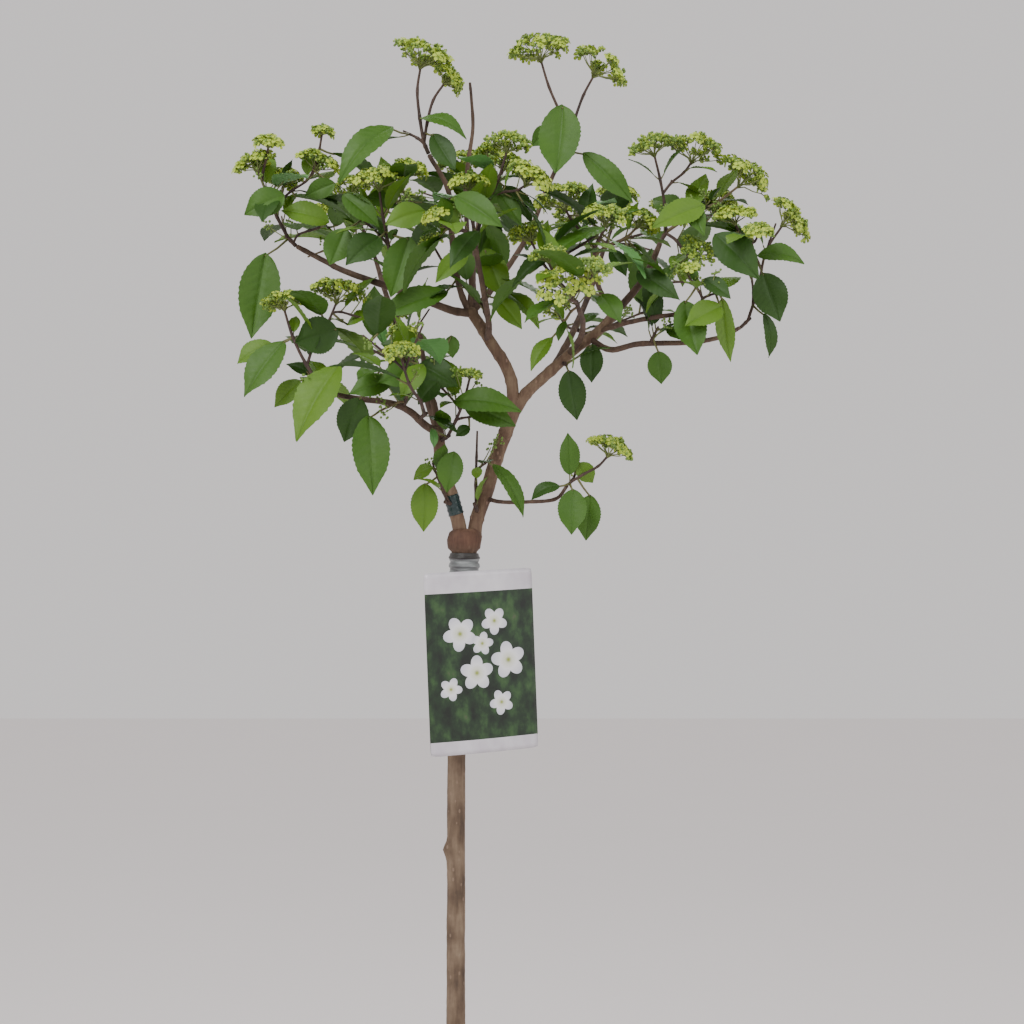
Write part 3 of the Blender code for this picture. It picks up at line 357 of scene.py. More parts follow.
def tube(line, radii, sides, relief=0, seedSpot=None):
    # A closed tube along a line. With relief, its skin is rough like bark, with the grain along +Z.
    along = directions(line)
    side = along[0].orthogonal().normalized()
    verts = []
    for i, centre in enumerate(line):
        if i:
            side = along[i - 1].rotation_difference(along[i]) @ side
        side = (side - along[i] * side.dot(along[i])).normalized()
        for k in range(sides):
            out = Quaternion(along[i], 2 * math.pi * k / sides) @ side
            spot = centre + out * radii[i]
            if relief:
                rough = noise.noise(Vector((spot.x * 420, spot.y * 420, spot.z * 90)) + seedSpot)
                rough += 0.6 * noise.noise(spot * 900 + seedSpot)
                spot = spot + out * rough * relief
            verts.append(spot)
    return verts, cappedRings(len(line), sides)


class Limb:

    def __init__(self, line, radii):
        self.line = line
        self.radii = radii
        self.along = directions(line)

    def at(self, share):
        spot = share * (len(self.line) - 1)
        i = min(int(spot), len(self.line) - 2)
        part = spot - i
        radius = self.radii[i] + (self.radii[i + 1] - self.radii[i]) * part
        return self.line[i].lerp(self.line[i + 1], part), self.along[i], radius


def leafPiece(root, base, tip, facing, width, arch):
    # The plain leaf of the solids, which keeps the room for the fine one.
    length = (tip - base).length
    axis = (tip - base).normalized()
    across = axis.cross(facing).normalized()
    normal = across.cross(axis).normalized()
    thick = max(length / 45, 0.9 * mm)
    rise = normal * arch
    sections = [
        (root, 0.8 * mm, 1.2 * mm), (base, 0.9 * mm, 1.3 * mm),
        (base.lerp(tip, 0.3) + rise * 0.84, 0.49 * width, thick),
        (base.lerp(tip, 0.7) + rise * 0.84, 0.36 * width, thick),
    ]
    leaving = (base - root).normalized()
    verts = []
    for (centre, half, depth), heading in zip(sections, (leaving, (leaving + axis).normalized(), axis, axis)):
        side = heading.cross(facing)
        if side.length < 0.3:
            side = across - heading * across.dot(heading)
        side.normalize()
        above = side.cross(heading)
        verts += [centre - side * half + above * depth / 2, centre + side * half + above * depth / 2]
        verts.append(centre - above * depth)
    verts.append(tip)
    end, top = (len(sections) - 1) * 3, len(verts) - 1
    faces = [(2, 1, 0), *ringFaces(len(sections), 3)]
    faces += [(end + k, end + (k + 1) % 3, top) for k in range(3)]
    return verts, faces


def headPiece(centre, axis, radius, rng):
    # The plain flower head of the solids, which keeps the room for the fine one.
    side = axis.orthogonal().normalized()
    lumps = 6 if radius > 12 * mm else 4
    first = rng.uniform(0, 2 * math.pi)

    def spot(turn, out, rise):
        return centre + (Quaternion(axis, first + turn) @ side) * out * radius + axis * rise * radius

    verts = [spot(0, 0, rng.uniform(0.4, 0.5)), spot(0, 0, -0.45)]
    for k in range(2 * lumps):
        turn = math.pi * (k + rng.uniform(-0.2, 0.2)) / lumps
        out = rng.uniform(0.9, 1.06) if k % 2 else rng.uniform(0.62, 0.76)
        verts.append(spot(turn, out, rng.uniform(-0.22, 0.16)))
    for k in range(lumps):
        verts.append(spot(2 * math.pi * k / lumps, rng.uniform(0.5, 0.66), rng.uniform(0.3, 0.52)))
    rim, crown = 2, 2 + 2 * lumps
    faces = []
    for k in range(2 * lumps):
        faces.append((1, rim + (k + 1) % (2 * lumps), rim + k))
    for k in range(lumps):
        j = (k + 1) % lumps
        low, middle, high = rim + 2 * k, rim + 2 * k + 1, rim + (2 * k + 2) % (2 * lumps)
        faces += [(low, middle, crown + k), (middle, crown + j, crown + k), (middle, high, crown + j)]
        faces.append((0, crown + k, crown + j))
    return verts, faces


def boxOf(verts, room=0):
    low = [min(v[i] for v in verts) - room for i in range(3)]
    return low, [max(v[i] for v in verts) + room for i in range(3)]


def tries(shifts):
    # Each shift in turn, first clear of the mass's own pieces and then without that.
    return [(strict, shift) for strict in (True, False) for shift in shifts]


# The rule of growth. Numbers are millimetres, or shares, as the crown is seen.
growth = {
    "shootShifts": (0, -7, 7, -14, 14, -22, 22, 30),  # how far a shoot moves in depth to come clear
    "leafShifts": (0, -6, 6, -12, 12, -20, 20, -30, 30),
    "longestStalk": 26 * mm,  # a leaf further from the twigs than this gets a twig of its own
    "lift": 1.2,  # how much the shoots that end in a head turn up
    "pairLength": (34, 50),
    "pairStalk": (6, 11),
    "pairDroop": 0.35,
    "pairWidth": 0.5,
    "gapEdge": 1.6,
}

# The bowl that added leaves keep inside: its lowest and highest level, its middle and its half width.
crownRoom = {
    "low": 20,
    "high": 262,
    "middle": -31,
    "lean": 0.25,
    "wide": 178,
    "depth": 0.95,
    "foot": 30,
    "full": 190,
}

limbs = {}
limbTrees = []
placed = []  # the boxes and trees of every mass grown so far


class Mass:

    def __init__(self, name, plan):
        self.limb, self.share, self.shoots, self.leaves, self.more = plan
        self.rng = random.Random(f"{massSeeds.get(name, commonSeed)} {name}")
        self.nodes = []
        self.trees = []
        self.twigs = []
        self.blades = []
        self.heads = []

    def free(self, piece):
        # Clear of the trunk, the boughs and the other masses.
        verts, faces = piece
        tree = BVHTree.FromPolygons(verts, faces)
        if any(tree.overlap(other) for other in limbTrees):
            return False
        low, high = boxOf(verts, gap)
        for box, other in placed:
            if all(low[i] < box[1][i] and high[i] > box[0][i] for i in range(3)) and tree.overlap(other):
                return False
        return True

    def clearOfOwn(self, piece):
        verts, faces = piece
        if len(verts) == leafPoints:
            verts = verts[6:]
            faces = [tuple(i - 6 for i in face) for face in faces if min(face) >= 6]
        tree = BVHTree.FromPolygons(verts, faces)
        return not any(tree.overlap(other) for _, other in self.trees)

    def add(self, piece):
        verts, faces = piece
        self.trees.append((boxOf(verts), BVHTree.FromPolygons(verts, faces)))

    def addTwig(self, line, radii, run=0):
        self.add(tube(line, radii, 3))
        self.twigs.append((line, radii))
        along = directions(line)
        for i in range(len(line) - 1):
            step = (line[i + 1] - line[i]).length
            self.nodes.append((line[i], along[i], radii[i], run))
            self.nodes.append((line[i].lerp(line[i + 1], 0.5), along[i], radii[i], run + step / 2))
            run += step

    def begin(self):
        # The mass's own first twig, a hair off its limb.
        point, along, radius = limbs[self.limb].at(self.share)
        goals = [seen(*shoot[:3]) for shoot in self.shoots]
        goals += [seen(*leaf[:3]) for leaf in self.leaves]
        centre = sum(goals, Vector()) / len(goals)
        if self.share == 1:
            out, start = along, point + along * (0.55 * radius + gap)
            size = min(radius * 0.95, twigRadius * 1.15)
        else:
            out = centre - point
            out = (out - along * out.dot(along)).normalized()
            start = point + out * (radius + gap)
            size = twigRadius * 1.1
        reach = min(12 * mm, 0.35 * (centre - start).length)
        line = bend(start, out, start + out * reach * 0.7 + (centre - start).normalized() * reach * 0.3, out, 2)
        self.addTwig(line, [size, size * 0.97, size * 0.94])

    def jointFor(self, goal):
        def cost(node):
            step = goal - node[0]
            turn = node[1].dot(step.normalized()) if step.length else 1
            return step.length * (1.5 - 0.5 * turn) + 0.45 * node[3]

        return sorted(self.nodes[1:], key=cost)[:6]

    def addShoot(self, across, up, depth, head, lean=0):
        size = head * mm * (1 + depth * mm / eyeDistance)
        for strict, shift in tries(growth["shootShifts"]):
            goal = seen(across, up, depth + shift)
            for joint in self.jointFor(goal):
                outward = (goal - joint[0]).normalized()
                rise = (outward + Vector((0, 0, growth["lift"]))).normalized() if head else outward
                rise = Quaternion((0, 1, 0), math.radians(lean)) @ rise
                hub = goal - rise * 0.3 * size if head else goal
                parts = [headPiece(goal, rise, size, self.rng)] if head else []
                leaving = (joint[1] + outward * 1.6).normalized()
                line = bend(joint[0] - leaving * 0.3 * joint[2], leaving, hub, rise, 3)
                n = len(line) - 1
                first = max(joint[2] * 0.92, twigTipRadius)
                last = twigTipRadius * (1.0 if head else 0.8)
                radii = [first + (last - first) * i / n for i in range(n + 1)]
                if strict and not all(self.clearOfOwn(part) for part in parts):
                    continue
                if self.free(tube(line, radii, 3)) and all(self.free(part) for part in parts):
                    self.addTwig(line, radii, joint[3])
                    for part in parts:
                        self.add(part)
                        self.heads.append((goal, rise, size))
                    return line
        return None

    def addBlade(self, piece, *shape):
        self.add(piece)
        self.blades.append(shape)

    def addLeaf(self, base, tip, facing, width, arch, strict=True):
        shape = (base, tip, facing, width, arch)
        near = sorted(self.nodes[1:], key=lambda node: (node[0] - base).length)[:5]
        for point, along, radius, run in near:
            far = (base - point).length
            way = (base - point if far > 3 * mm else tip - base).normalized()
            root = point - way * 0.3 * radius
            if far <= growth["longestStalk"]:
                piece = leafPiece(root, *shape)
                if (not strict or self.clearOfOwn(piece)) and self.free(piece):
                    self.addBlade(piece, root, *shape)
                    return True
                continue
            stop = point.lerp(base, 1 - 8 * mm / far)
            out = (stop - point).normalized()
            line = bend(root, (along + out).normalized(), stop, out, 3)
            radii = [twigTipRadius * 1.1, twigTipRadius * 1.05, twigTipRadius, twigTipRadius]
            foot = stop - out * 0.8 * mm
            piece = leafPiece(foot, *shape)
            if strict and not self.clearOfOwn(piece):
                continue
            if self.free(tube(line, radii, 3)) and self.free(piece):
                self.addTwig(line, radii, run)
                self.addBlade(piece, foot, *shape)
                return True
        return False

    def addSetLeaf(self, spec):
        x0, z0, d0, x1, z1, d1, width, roll, arch = spec
        for strict, shift in tries(growth["leafShifts"]):
            base, tip = seen(x0, z0, d0 + shift), seen(x1, z1, d1 + shift)
            axis = (tip - base).normalized()
            toward = (eye - base).normalized()
            facing = Quaternion(axis, math.radians(-roll if axis.x > 0 else roll)) @ toward
            scale = mm * (1 + (d0 + shift) * mm / eyeDistance)
            wide = width * scale / max(math.cos(math.radians(roll)), 0.5)
            lift = arch * scale * (1 if facing.z > -0.05 else -1)
            if self.addLeaf(base, tip, facing, wide, lift, strict):
                return

    def addPairs(self, line):
        # Pairs of leaves along a shoot, from its end backwards.
        p, rng = growth, self.rng
        along = directions(line)
        side = along[0].orthogonal().normalized()
        for pair in range(self.more):
            i = max(1, len(line) - 2 - pair)
            out = Quaternion(along[i], rng.uniform(0.9, 1.7) * pair + rng.uniform(0, 3)) @ side
            out = (out - along[i] * out.dot(along[i])).normalized()
            for sign in (1, -1):
                away = (out * sign + along[i] * 0.5 + Vector((0, 0, rng.uniform(-0.7, -0.1)))).normalized()
                length = rng.uniform(*p["pairLength"]) * mm
                base = line[i] + away * rng.uniform(*p["pairStalk"]) * mm
                tip = base + (away + Vector((0, 0, -p["pairDroop"]))).normalized() * length
                up = Vector((0, 0, 1)) + away * 0.2
                if self.hasRoom(base, tip):
                    self.addLeaf(base, tip, up, length * p["pairWidth"], length * 0.08)

    def hasRoom(self, base, tip):
        return not self.inGap(base, tip) and self.inRoom(tip)

    def inGap(self, base, tip):
        for share in (0.3, 0.65, 1):
            across, up = inView(base.lerp(tip, share))
            for x, z, wide, high in skyGaps:
                if ((across - x) / wide) ** 2 + ((up - z) / high) ** 2 < growth["gapEdge"]:
                    return True
        return False

    def inRoom(self, tip):
        p = crownRoom
        across, up = inView(tip)
        if up < p["low"] or up > p["high"]:
            return False
        middle = p["middle"] + p["lean"] * up
        reach = min(1, (up + p["foot"]) / p["full"]) * p["wide"]
        return ((across - middle) / reach) ** 2 + (tip.y / (p["depth"] * reach * mm)) ** 2 < 1

    def grow(self):
        self.begin()
        lines = [self.addShoot(*shoot) for shoot in self.shoots]
        for spec in self.leaves:
            self.addSetLeaf(spec)
        for line in lines:
            if line:
                self.addPairs(line)
        placed.extend(self.trees)


class Sock:
    # Wraps a shader socket or a number, so that shader maths reads as maths.

    def __init__(self, tree, value):
        self.tree = tree
        self.value = value

    def op(self, kind, other=None, swap=False):
        node = self.tree.nodes.new("ShaderNodeMath")
        node.operation = kind
        for i, item in enumerate([other, self] if swap else [self, other]):
            value = item.value if isinstance(item, Sock) else item
            if isinstance(value, (int, float)):
                node.inputs[i].default_value = value
            elif value is not None:
                self.tree.links.new(value, node.inputs[i])
        return Sock(self.tree, node.outputs[0])

    def __add__(self, other):
        return self.op("ADD", other)

    def __radd__(self, other):
        return self.op("ADD", other)

    def __sub__(self, other):
        return self.op("SUBTRACT", other)

    def __rsub__(self, other):
        return self.op("SUBTRACT", other, swap=True)

    def __mul__(self, other):
        return self.op("MULTIPLY", other)

    def __rmul__(self, other):
        return self.op("MULTIPLY", other)

    def __truediv__(self, other):
        return self.op("DIVIDE", other)

    def __rtruediv__(self, other):
        return self.op("DIVIDE", other, swap=True)

    def __lt__(self, other):
        return self.op("LESS_THAN", other)

    def __gt__(self, other):
        return self.op("GREATER_THAN", other)


class Finish:
    # One material under construction.

    def __init__(self, name, roughness=0.6, **constants):
        self.material = bpy.data.materials.new(name)
        self.material.use_nodes = True
        self.tree = self.material.node_tree
        self.shader = self.tree.nodes["Principled BSDF"]
        self.shader.inputs["Roughness"].default_value = roughness
        for key, value in constants.items():
            self.shader.inputs[key.replace("_", " ")].default_value = value

    def node(self, kind, settings=None, **sockets):
        made = self.tree.nodes.new(kind)
        for key, value in (settings or {}).items():
            setattr(made, key, value)
        for key, value in sockets.items():
            self.plug(value, made.inputs[key.replace("_", " ")])
        return made

    def plug(self, value, socket):
        value = value.value if isinstance(value, Sock) else value
        if isinstance(value, bpy.types.NodeSocket):
            self.tree.links.new(value, socket)
        else:
            socket.default_value = value

    def place(self, kind="Object"):
        return self.node("ShaderNodeTexCoord").outputs[kind]

    def part(self, place, number):
        # One coordinate of a place.
        return Sock(self.tree, self.node("ShaderNodeSeparateXYZ", Vector=place).outputs[number])

    def stretched(self, scale):
        return self.node("ShaderNodeMapping", Vector=self.place(), Scale=scale).outputs["Vector"]

    def grain(self, scale, detail=4.0, spot=None):
        spot = spot or self.place()
        made = self.node("ShaderNodeTexNoise", Vector=spot, Scale=scale, Detail=detail, Roughness=0.55)
        return Sock(self.tree, made.outputs["Fac"])

    def cells(self, scale, spot=None):
        made = self.node("ShaderNodeTexVoronoi", Vector=spot or self.place(), Scale=scale)
        return Sock(self.tree, made.outputs["Distance"])

    def ramp(self, factor, stops):
        made = self.node("ShaderNodeValToRGB")
        bar = made.color_ramp
        while len(bar.elements) < len(stops):
            bar.elements.new(0.5)
        for element, (spot, colour) in zip(bar.elements, stops):
            element.position = spot
            element.color = (*colour, 1)
        self.plug(factor, made.inputs["Fac"])
        return made.outputs["Color"]

    def blend(self, factor, first, second):
        made = self.node("ShaderNodeMix", {"data_type": "RGBA"})
        for value, number in ((factor, 0), (first, 6), (second, 7)):
            self.plug((*value, 1) if isinstance(value, tuple) else value, made.inputs[number])
        return made.outputs[2]

    def base(self, colour):
        self.plug(colour, self.shader.inputs["Base Color"])

    def rough(self, value):
        self.plug(value, self.shader.inputs["Roughness"])

    def bump(self, height, strength, distance):
        made = self.node("ShaderNodeBump", Strength=strength, Distance=distance, Height=height)
        self.plug(made.outputs["Normal"], self.shader.inputs["Normal"])


# The pale, middle, dark and streak colours of each bark.
barkLooks = {
    "trunk_bark": ((0.23, 0.165, 0.11), (0.125, 0.082, 0.052), (0.045, 0.028, 0.019), (0.34, 0.28, 0.2)),
    "stem_wood": ((0.24, 0.165, 0.105), (0.145, 0.085, 0.055), (0.055, 0.03, 0.022), (0.3, 0.22, 0.15)),
    "bough_wood": ((0.15, 0.095, 0.065), (0.085, 0.05, 0.036), (0.03, 0.018, 0.015), (0.2, 0.14, 0.1)),
    "twig_wood": ((0.10, 0.06, 0.045), (0.055, 0.033, 0.027), (0.022, 0.013, 0.012), (0.13, 0.09, 0.07)),
}
barkPlan = {"fibres": 260, "pores": 210, "patches": 48, "poreSize": 0.16, "relief": 0.7}
knuckleReds = [(0.3, (0.045, 0.018, 0.012)), (0.5, (0.13, 0.06, 0.038)), (0.75, (0.24, 0.14, 0.09))]
knuckleDeep = 0.022  # the red of the graft's knuckle starts this far below the fork


def barkFinish(name, knuckle=False):
    p = barkPlan
    pale, middle, dark, streak = barkLooks[name]
    made = Finish(name, 0.8)
    fibres = made.grain(p["fibres"], 6, made.stretched((1, 1, 0.16)))
    spots = made.cells(p["pores"], made.stretched((1, 1, 0.55)))
    patches = made.grain(p["patches"], 5)
    tone = fibres * 0.5 + patches * 0.62 - 0.06
    colour = made.ramp(tone, [(0.3, dark), (0.46, middle), (0.64, pale), (0.78, streak)])
    pores = (spots < p["poreSize"]) * 0.75
    colour = made.blend(pores, colour, tuple(c * 1.7 + 0.03 for c in middle))
    if knuckle:
        rise = made.part(made.place(), 2)
        near = ((rise - (forkZ - knuckleDeep)) * 90).op("MINIMUM", 1.0).op("MAXIMUM", 0.0)
        colour = made.blend(near * 0.85, colour, made.ramp(tone, knuckleReds))
    made.base(colour)
    made.rough(0.72 + fibres * 0.22)
    made.bump(fibres * 0.7 + patches * 0.5 - spots * 0.3, p["relief"], 0.0012)
    return made.material


leafSkin = {"mottle": 70, "sheen": 240, "pores": 520, "relief": 0.18}


def leafFinish(name, colour, shade, gloss):
    p = leafSkin
    made = Finish(name, gloss, Specular_IOR_Level=0.35)
    made.base(made.blend(made.grain(p["mottle"], 3) * 0.8, colour, shade))
    made.rough(gloss + made.grain(p["sheen"], 2) * 0.16 - 0.08)
    made.bump(made.grain(p["pores"], 2), p["relief"], 0.0006)
    return made.material


def plainFinish(name, colour, shade, roughness, scale=300, relief=0.3):
    made = Finish(name, roughness)
    made.base(made.blend(made.grain(scale, 4), colour, shade))
    made.bump(made.grain(scale * 1.6, 3), relief, 0.0006)
    return made.material


def finishMesh(name, mesh, finish, nodes):
    mesh.materials.append(finish)
    piece = bpy.data.objects.new(name, mesh)
    bpy.context.collection.objects.link(piece)
    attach(piece, "root")
    if nodes:
        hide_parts(*nodes)


def finishPiece(name, verts, faces, finish, slotName, nodes=(), smooth=True, uvs=None):
    mesh = bpy.data.meshes.new(name)
    mesh.from_pydata([tuple(v) for v in verts], [], faces)
    mesh.validate()
    for face in mesh.polygons:
        face.use_smooth = smooth
    if uvs:
        layer = mesh.uv_layers.new(name="UVMap")
        for loop in mesh.loops:
            layer.data[loop.index].uv = uvs[loop.vertex_index]
    finishMesh(name, mesh, finish, nodes)


class Heap:
    # Gathers many small shapes of one kind into one mesh.

    def __init__(self):
        self.verts = []
        self.faces = []

    def add(self, shape):
        verts, faces = shape
        start = len(self.verts)
        self.verts += verts
        self.faces += [tuple(start + i for i in face) for face in faces]


def outward(shape):
    verts, faces = shape
    filled = 0
    for face in faces:
        for i in range(1, len(face) - 1):
            filled += verts[face[0]].dot(verts[face[i]].cross(verts[face[i + 1]]))
    return (verts, [tuple(reversed(face)) for face in faces]) if filled < 0 else shape


# Pot and soil

potPlan = {
    "height": 210 * mm,
    "mouth": 114 * mm,
    "foot": 86 * mm,
    "band": 18 * mm,  # the deeper rim at the top
    "floor": 12 * mm,
    "creases": (0.08, 0.09, 0.3, 0.5, 0.7, 0.86, 0.87, 0.88),  # rings of the wall, as shares of its height
    "raised": (0.09, 0.87),
    "sides": 96,
    "dust": [(0.35, (0.018, 0.019, 0.021)), (0.6, (0.032, 0.033, 0.034)), (0.8, (0.07, 0.062, 0.05))],
}


def makePot():
    p = potPlan
    top, mouth, foot = p["height"], p["mouth"], p["foot"]
    wallTop, lip = top - p["band"], mouth + 4 * mm
    profile = [(0, 1.6 * mm), (0.62 * foot, 1.6 * mm), (0.64 * foot, 0), (0.8 * foot, 0)]
    profile += [(foot - 2 * mm, 0), (foot - 0.6 * mm, 0.8 * mm), (foot, 3 * mm)]
    slope = (mouth - 2 * mm - foot) / (wallTop - 5 * mm)
    for share in p["creases"]:
        height = 3 * mm + share * (wallTop - 5 * mm)
        profile.append((foot + slope * (height - 3 * mm) + (0.5 * mm if share in p["raised"] else 0), height))
    profile += [(mouth - 2 * mm, wallTop - 2 * mm), (mouth - 1.2 * mm, wallTop - 0.3 * mm)]
    profile += [(lip - 1.4 * mm, wallTop), (lip - 0.2 * mm, wallTop + 0.7 * mm), (lip, wallTop + 2 * mm)]
    profile += [(lip + 0.8 * mm, top - 1.6 * mm), (lip + 0.6 * mm, top - 0.3 * mm)]
    profile += [(lip - 0.6 * mm, top), (lip - 1.8 * mm, top - 0.3 * mm)]
    profile += [(lip - 3 * mm, wallTop + 5 * mm), (mouth - 4.6 * mm, wallTop)]
    profile += [(mouth - 5 * mm, wallTop - 8 * mm), (foot, p["floor"]), (0, p["floor"])]
    bm = bmesh.new()
    ring = [bm.verts.new((radius, 0, height)) for radius, height in profile]
    edges = [bm.edges.new((a, b)) for a, b in zip(ring, ring[1:])]
    bmesh.ops.spin(
        bm, geom=ring + edges, cent=(0, 0, 0), axis=(0, 0, 1), angle=2 * math.pi, steps=p["sides"],
        use_merge=True,
    )
    bmesh.ops.remove_doubles(bm, verts=bm.verts, dist=1e-5)
    bmesh.ops.recalc_face_normals(bm, faces=bm.faces)
    mesh = bpy.data.meshes.new("pot_shell")
    bm.to_mesh(mesh)
    bm.free()
    for face in mesh.polygons:
        face.use_smooth = True
    made = Finish("pot_plastic", 0.5)
    dust = made.grain(22, 6)
    made.base(made.ramp(dust, p["dust"]))
    made.rough(0.42 + dust * 0.3)
    made.bump(made.grain(900, 2) + made.grain(60, 3) * 0.3, 0.25, 0.0005)
    finishMesh("pot_shell", mesh, made.material, ["pot"])


soilPlan = {
    "radius": 106.5 * mm,
    "deep": 12 * mm,
    "dip": 2.6 * mm,  # how far the soil falls from the trunk to the wall
    "lumps": ((45, 2.2 * mm), (150, 1.5 * mm)),  # how fine the lumps are and how high
    "rows": 22,
    "sides": 72,
    "bareRing": 16 * mm,  # nothing is strewn nearer to the trunk
    "mix": [(0.3, (0.016, 0.01, 0.006)), (0.55, (0.045, 0.028, 0.018)), (0.8, (0.11, 0.075, 0.05))],
    "strewn": {  # how many, the smallest and largest in millimetres, and two colours
        "bark_crumbs": (520, 1.1, 3.4, (0.09, 0.05, 0.028), (0.2, 0.13, 0.08)),
        "pale_grit": (110, 0.7, 1.5, (0.55, 0.53, 0.48), (0.75, 0.73, 0.68)),
    },
}


def makeSoil():
    p = soilPlan
    rim, rows, sides = p["radius"], p["rows"], p["sides"]
    verts = []
    for i in range(1, rows + 1):
        for k in range(sides):
            turn = 2 * math.pi * k / sides
            out = rim * i / rows
            spot = Vector((out * math.cos(turn), out * math.sin(turn), 0))
            rise = sum(noise.noise(spot * fine) * high for fine, high in p["lumps"])
            rise = rise * (1 - 0.5 * i / rows)
            verts.append(spot + Vector((0, 0, soilTop - p["dip"] * (i / rows) ** 2 - 1.2 * mm + rise)))
    for k in range(sides):
        turn = 2 * math.pi * k / sides
        verts.append(Vector((rim * math.cos(turn), rim * math.sin(turn), soilTop - p["deep"])))
    middle = len(verts)
    verts.append(Vector((0, 0, soilTop - 1 * mm)))
    faces = [(middle, k, (k + 1) % sides) for k in range(sides)]
    faces += [(a, d, c, b) for a, b, c, d in ringFaces(rows + 1, sides)]
    faces.append(tuple(reversed(range(middle - sides, middle))))
    made = Finish("potting_mix", 0.95)
    clods = made.cells(240)
    made.base(made.ramp(made.grain(160, 6), p["mix"]))
    made.bump(clods * -1.0 + made.grain(420, 5), 1.0, 0.0025)
    finishPiece("potting_mix", verts, faces, made.material, "potting_soil", ["soil"])
    rng = random.Random(5)
    for name, (count, least, most, colour, shade) in p["strewn"].items():
        pieces = Heap()
        for _ in range(count):
            out, turn = rim * 0.96 * math.sqrt(rng.random()), rng.uniform(0, 2 * math.pi)
            if out < p["bareRing"]:
                continue
            size = rng.uniform(least, most) * mm
            height = soilTop - 2.4 * mm * (out / rim) ** 2 - 0.5 * mm
            pieces.add(lumpOf(Vector((out * math.cos(turn), out * math.sin(turn), height)), size, rng))
        finish = plainFinish(name, colour, shade, 0.9)
        finishPiece(name, pieces.verts, pieces.faces, finish, "potting_soil", smooth=False)


lumpCorners = [(1, 0, 0), (-1, 0, 0), (0, 1, 0), (0, -1, 0), (0, 0, 1), (0, 0, -1)]
lumpFaces = [(0, 2, 4), (2, 1, 4), (1, 3, 4), (3, 0, 4), (2, 0, 5), (1, 2, 5), (3, 1, 5), (0, 3, 5)]


def lumpOf(centre, size, rng):
    # An uneven crumb, half as high as it is wide.
    axis = (rng.uniform(-1, 1), rng.uniform(-1, 1), rng.uniform(-1, 1))
    turn = Quaternion(axis, rng.uniform(0, 3)).normalized()
    verts = []
    for corner in lumpCorners:
        spot = turn @ (Vector(corner) * size * rng.uniform(0.7, 1.2))
        verts.append(centre + Vector((spot.x, spot.y, spot.z * 0.5)))
    return verts, lumpFaces


def budShape(centre, axis, radius, length):
    # A round bud of two rings and two poles.
    side = axis.orthogonal().normalized()
    verts = [centre - axis * length * 0.5]
    for rise, wide in ((-0.18, 0.92), (0.25, 0.85)):
        for k in range(5):
            turn = Quaternion(axis, 2 * math.pi * (k + (0.5 if rise > 0 else 0)) / 5)
            verts.append(centre + axis * length * rise + (turn @ side) * radius * wide)
    verts.append(centre + axis * length * 0.5)
    faces = []
    for k in range(5):
        j = (k + 1) % 5
        faces += [(0, 1 + j, 1 + k), (1 + k, 1 + j, 6 + k), (1 + j, 6 + j, 6 + k), (6 + k, 6 + j, 11)]
    return verts, faces


# Trunk and boughs

trunkPlan = {
    "sides": 36,
    "ringStep": 3.0,  # millimetres between rings
    "relief": 0.32,  # depth of the bark in millimetres
    "scar": (8, 17, 0.5),  # the graft's rough band below the fork, and how much deeper it is
    "smoothEnds": (1, 598),
}


def makeTrunk():
    p, plan = trunkPlan, trunkRingPlan
    rows, sides = [], p["sides"]
    for ring, after in zip(plan, plan[1:]):
        steps = max(1, int((ring[0] - after[0]) / p["ringStep"]))
        for step in range(steps):
            rows.append([a + (b - a) * (step / steps) for a, b in zip(ring, after)])
    rows.append(plan[-1])
    scarLow, scarHigh, scarDeep = p["scar"]
    verts = []
    for below, across, radius, lobes in rows:
        for k in range(sides):
            turn = 2 * math.pi * k / sides
            face = Vector((math.cos(turn), math.sin(turn), 0))
            out = radius * mm * (1 + lobes * math.cos(4 * turn + 0.6))
            knot = math.exp(-(((below - knotBelow) / 4.5) ** 2))
            out += knotOut * knot * max(0.0, -math.cos(turn)) ** 4
            spot = Vector((forkAcross + across * mm, 0, forkZ - below * mm)) + face * out
            rough = noise.noise(Vector((spot.x * 260, spot.y * 260, spot.z * 60)))
            rough += 0.7 * noise.noise(Vector((spot.x * 700, spot.y * 700, spot.z * 380)))
            deep = p["relief"] + (scarDeep if scarLow < below < scarHigh else 0.0)
            relief = deep * mm if p["smoothEnds"][0] < below < p["smoothEnds"][1] else 0
            verts.append(spot + face * rough * relief)
    finish = barkFinish("trunk_bark", knuckle=True)
    finishPiece("trunk_bark", verts, cappedRings(len(rows), sides), finish, "trunk_bark", ["trunk"])


boughPlan = {
    "stems": ("right_stem", "left_stem", "centre_limb", "right_limb"),
    "thickFrom": 3.5,  # limbs that start thicker than this, in millimetres, get the first of each pair
    "relief": (0.22, 0.14),
    "sides": (18, 12),
    "swell": 0.1,  # how much a joint stands out
}


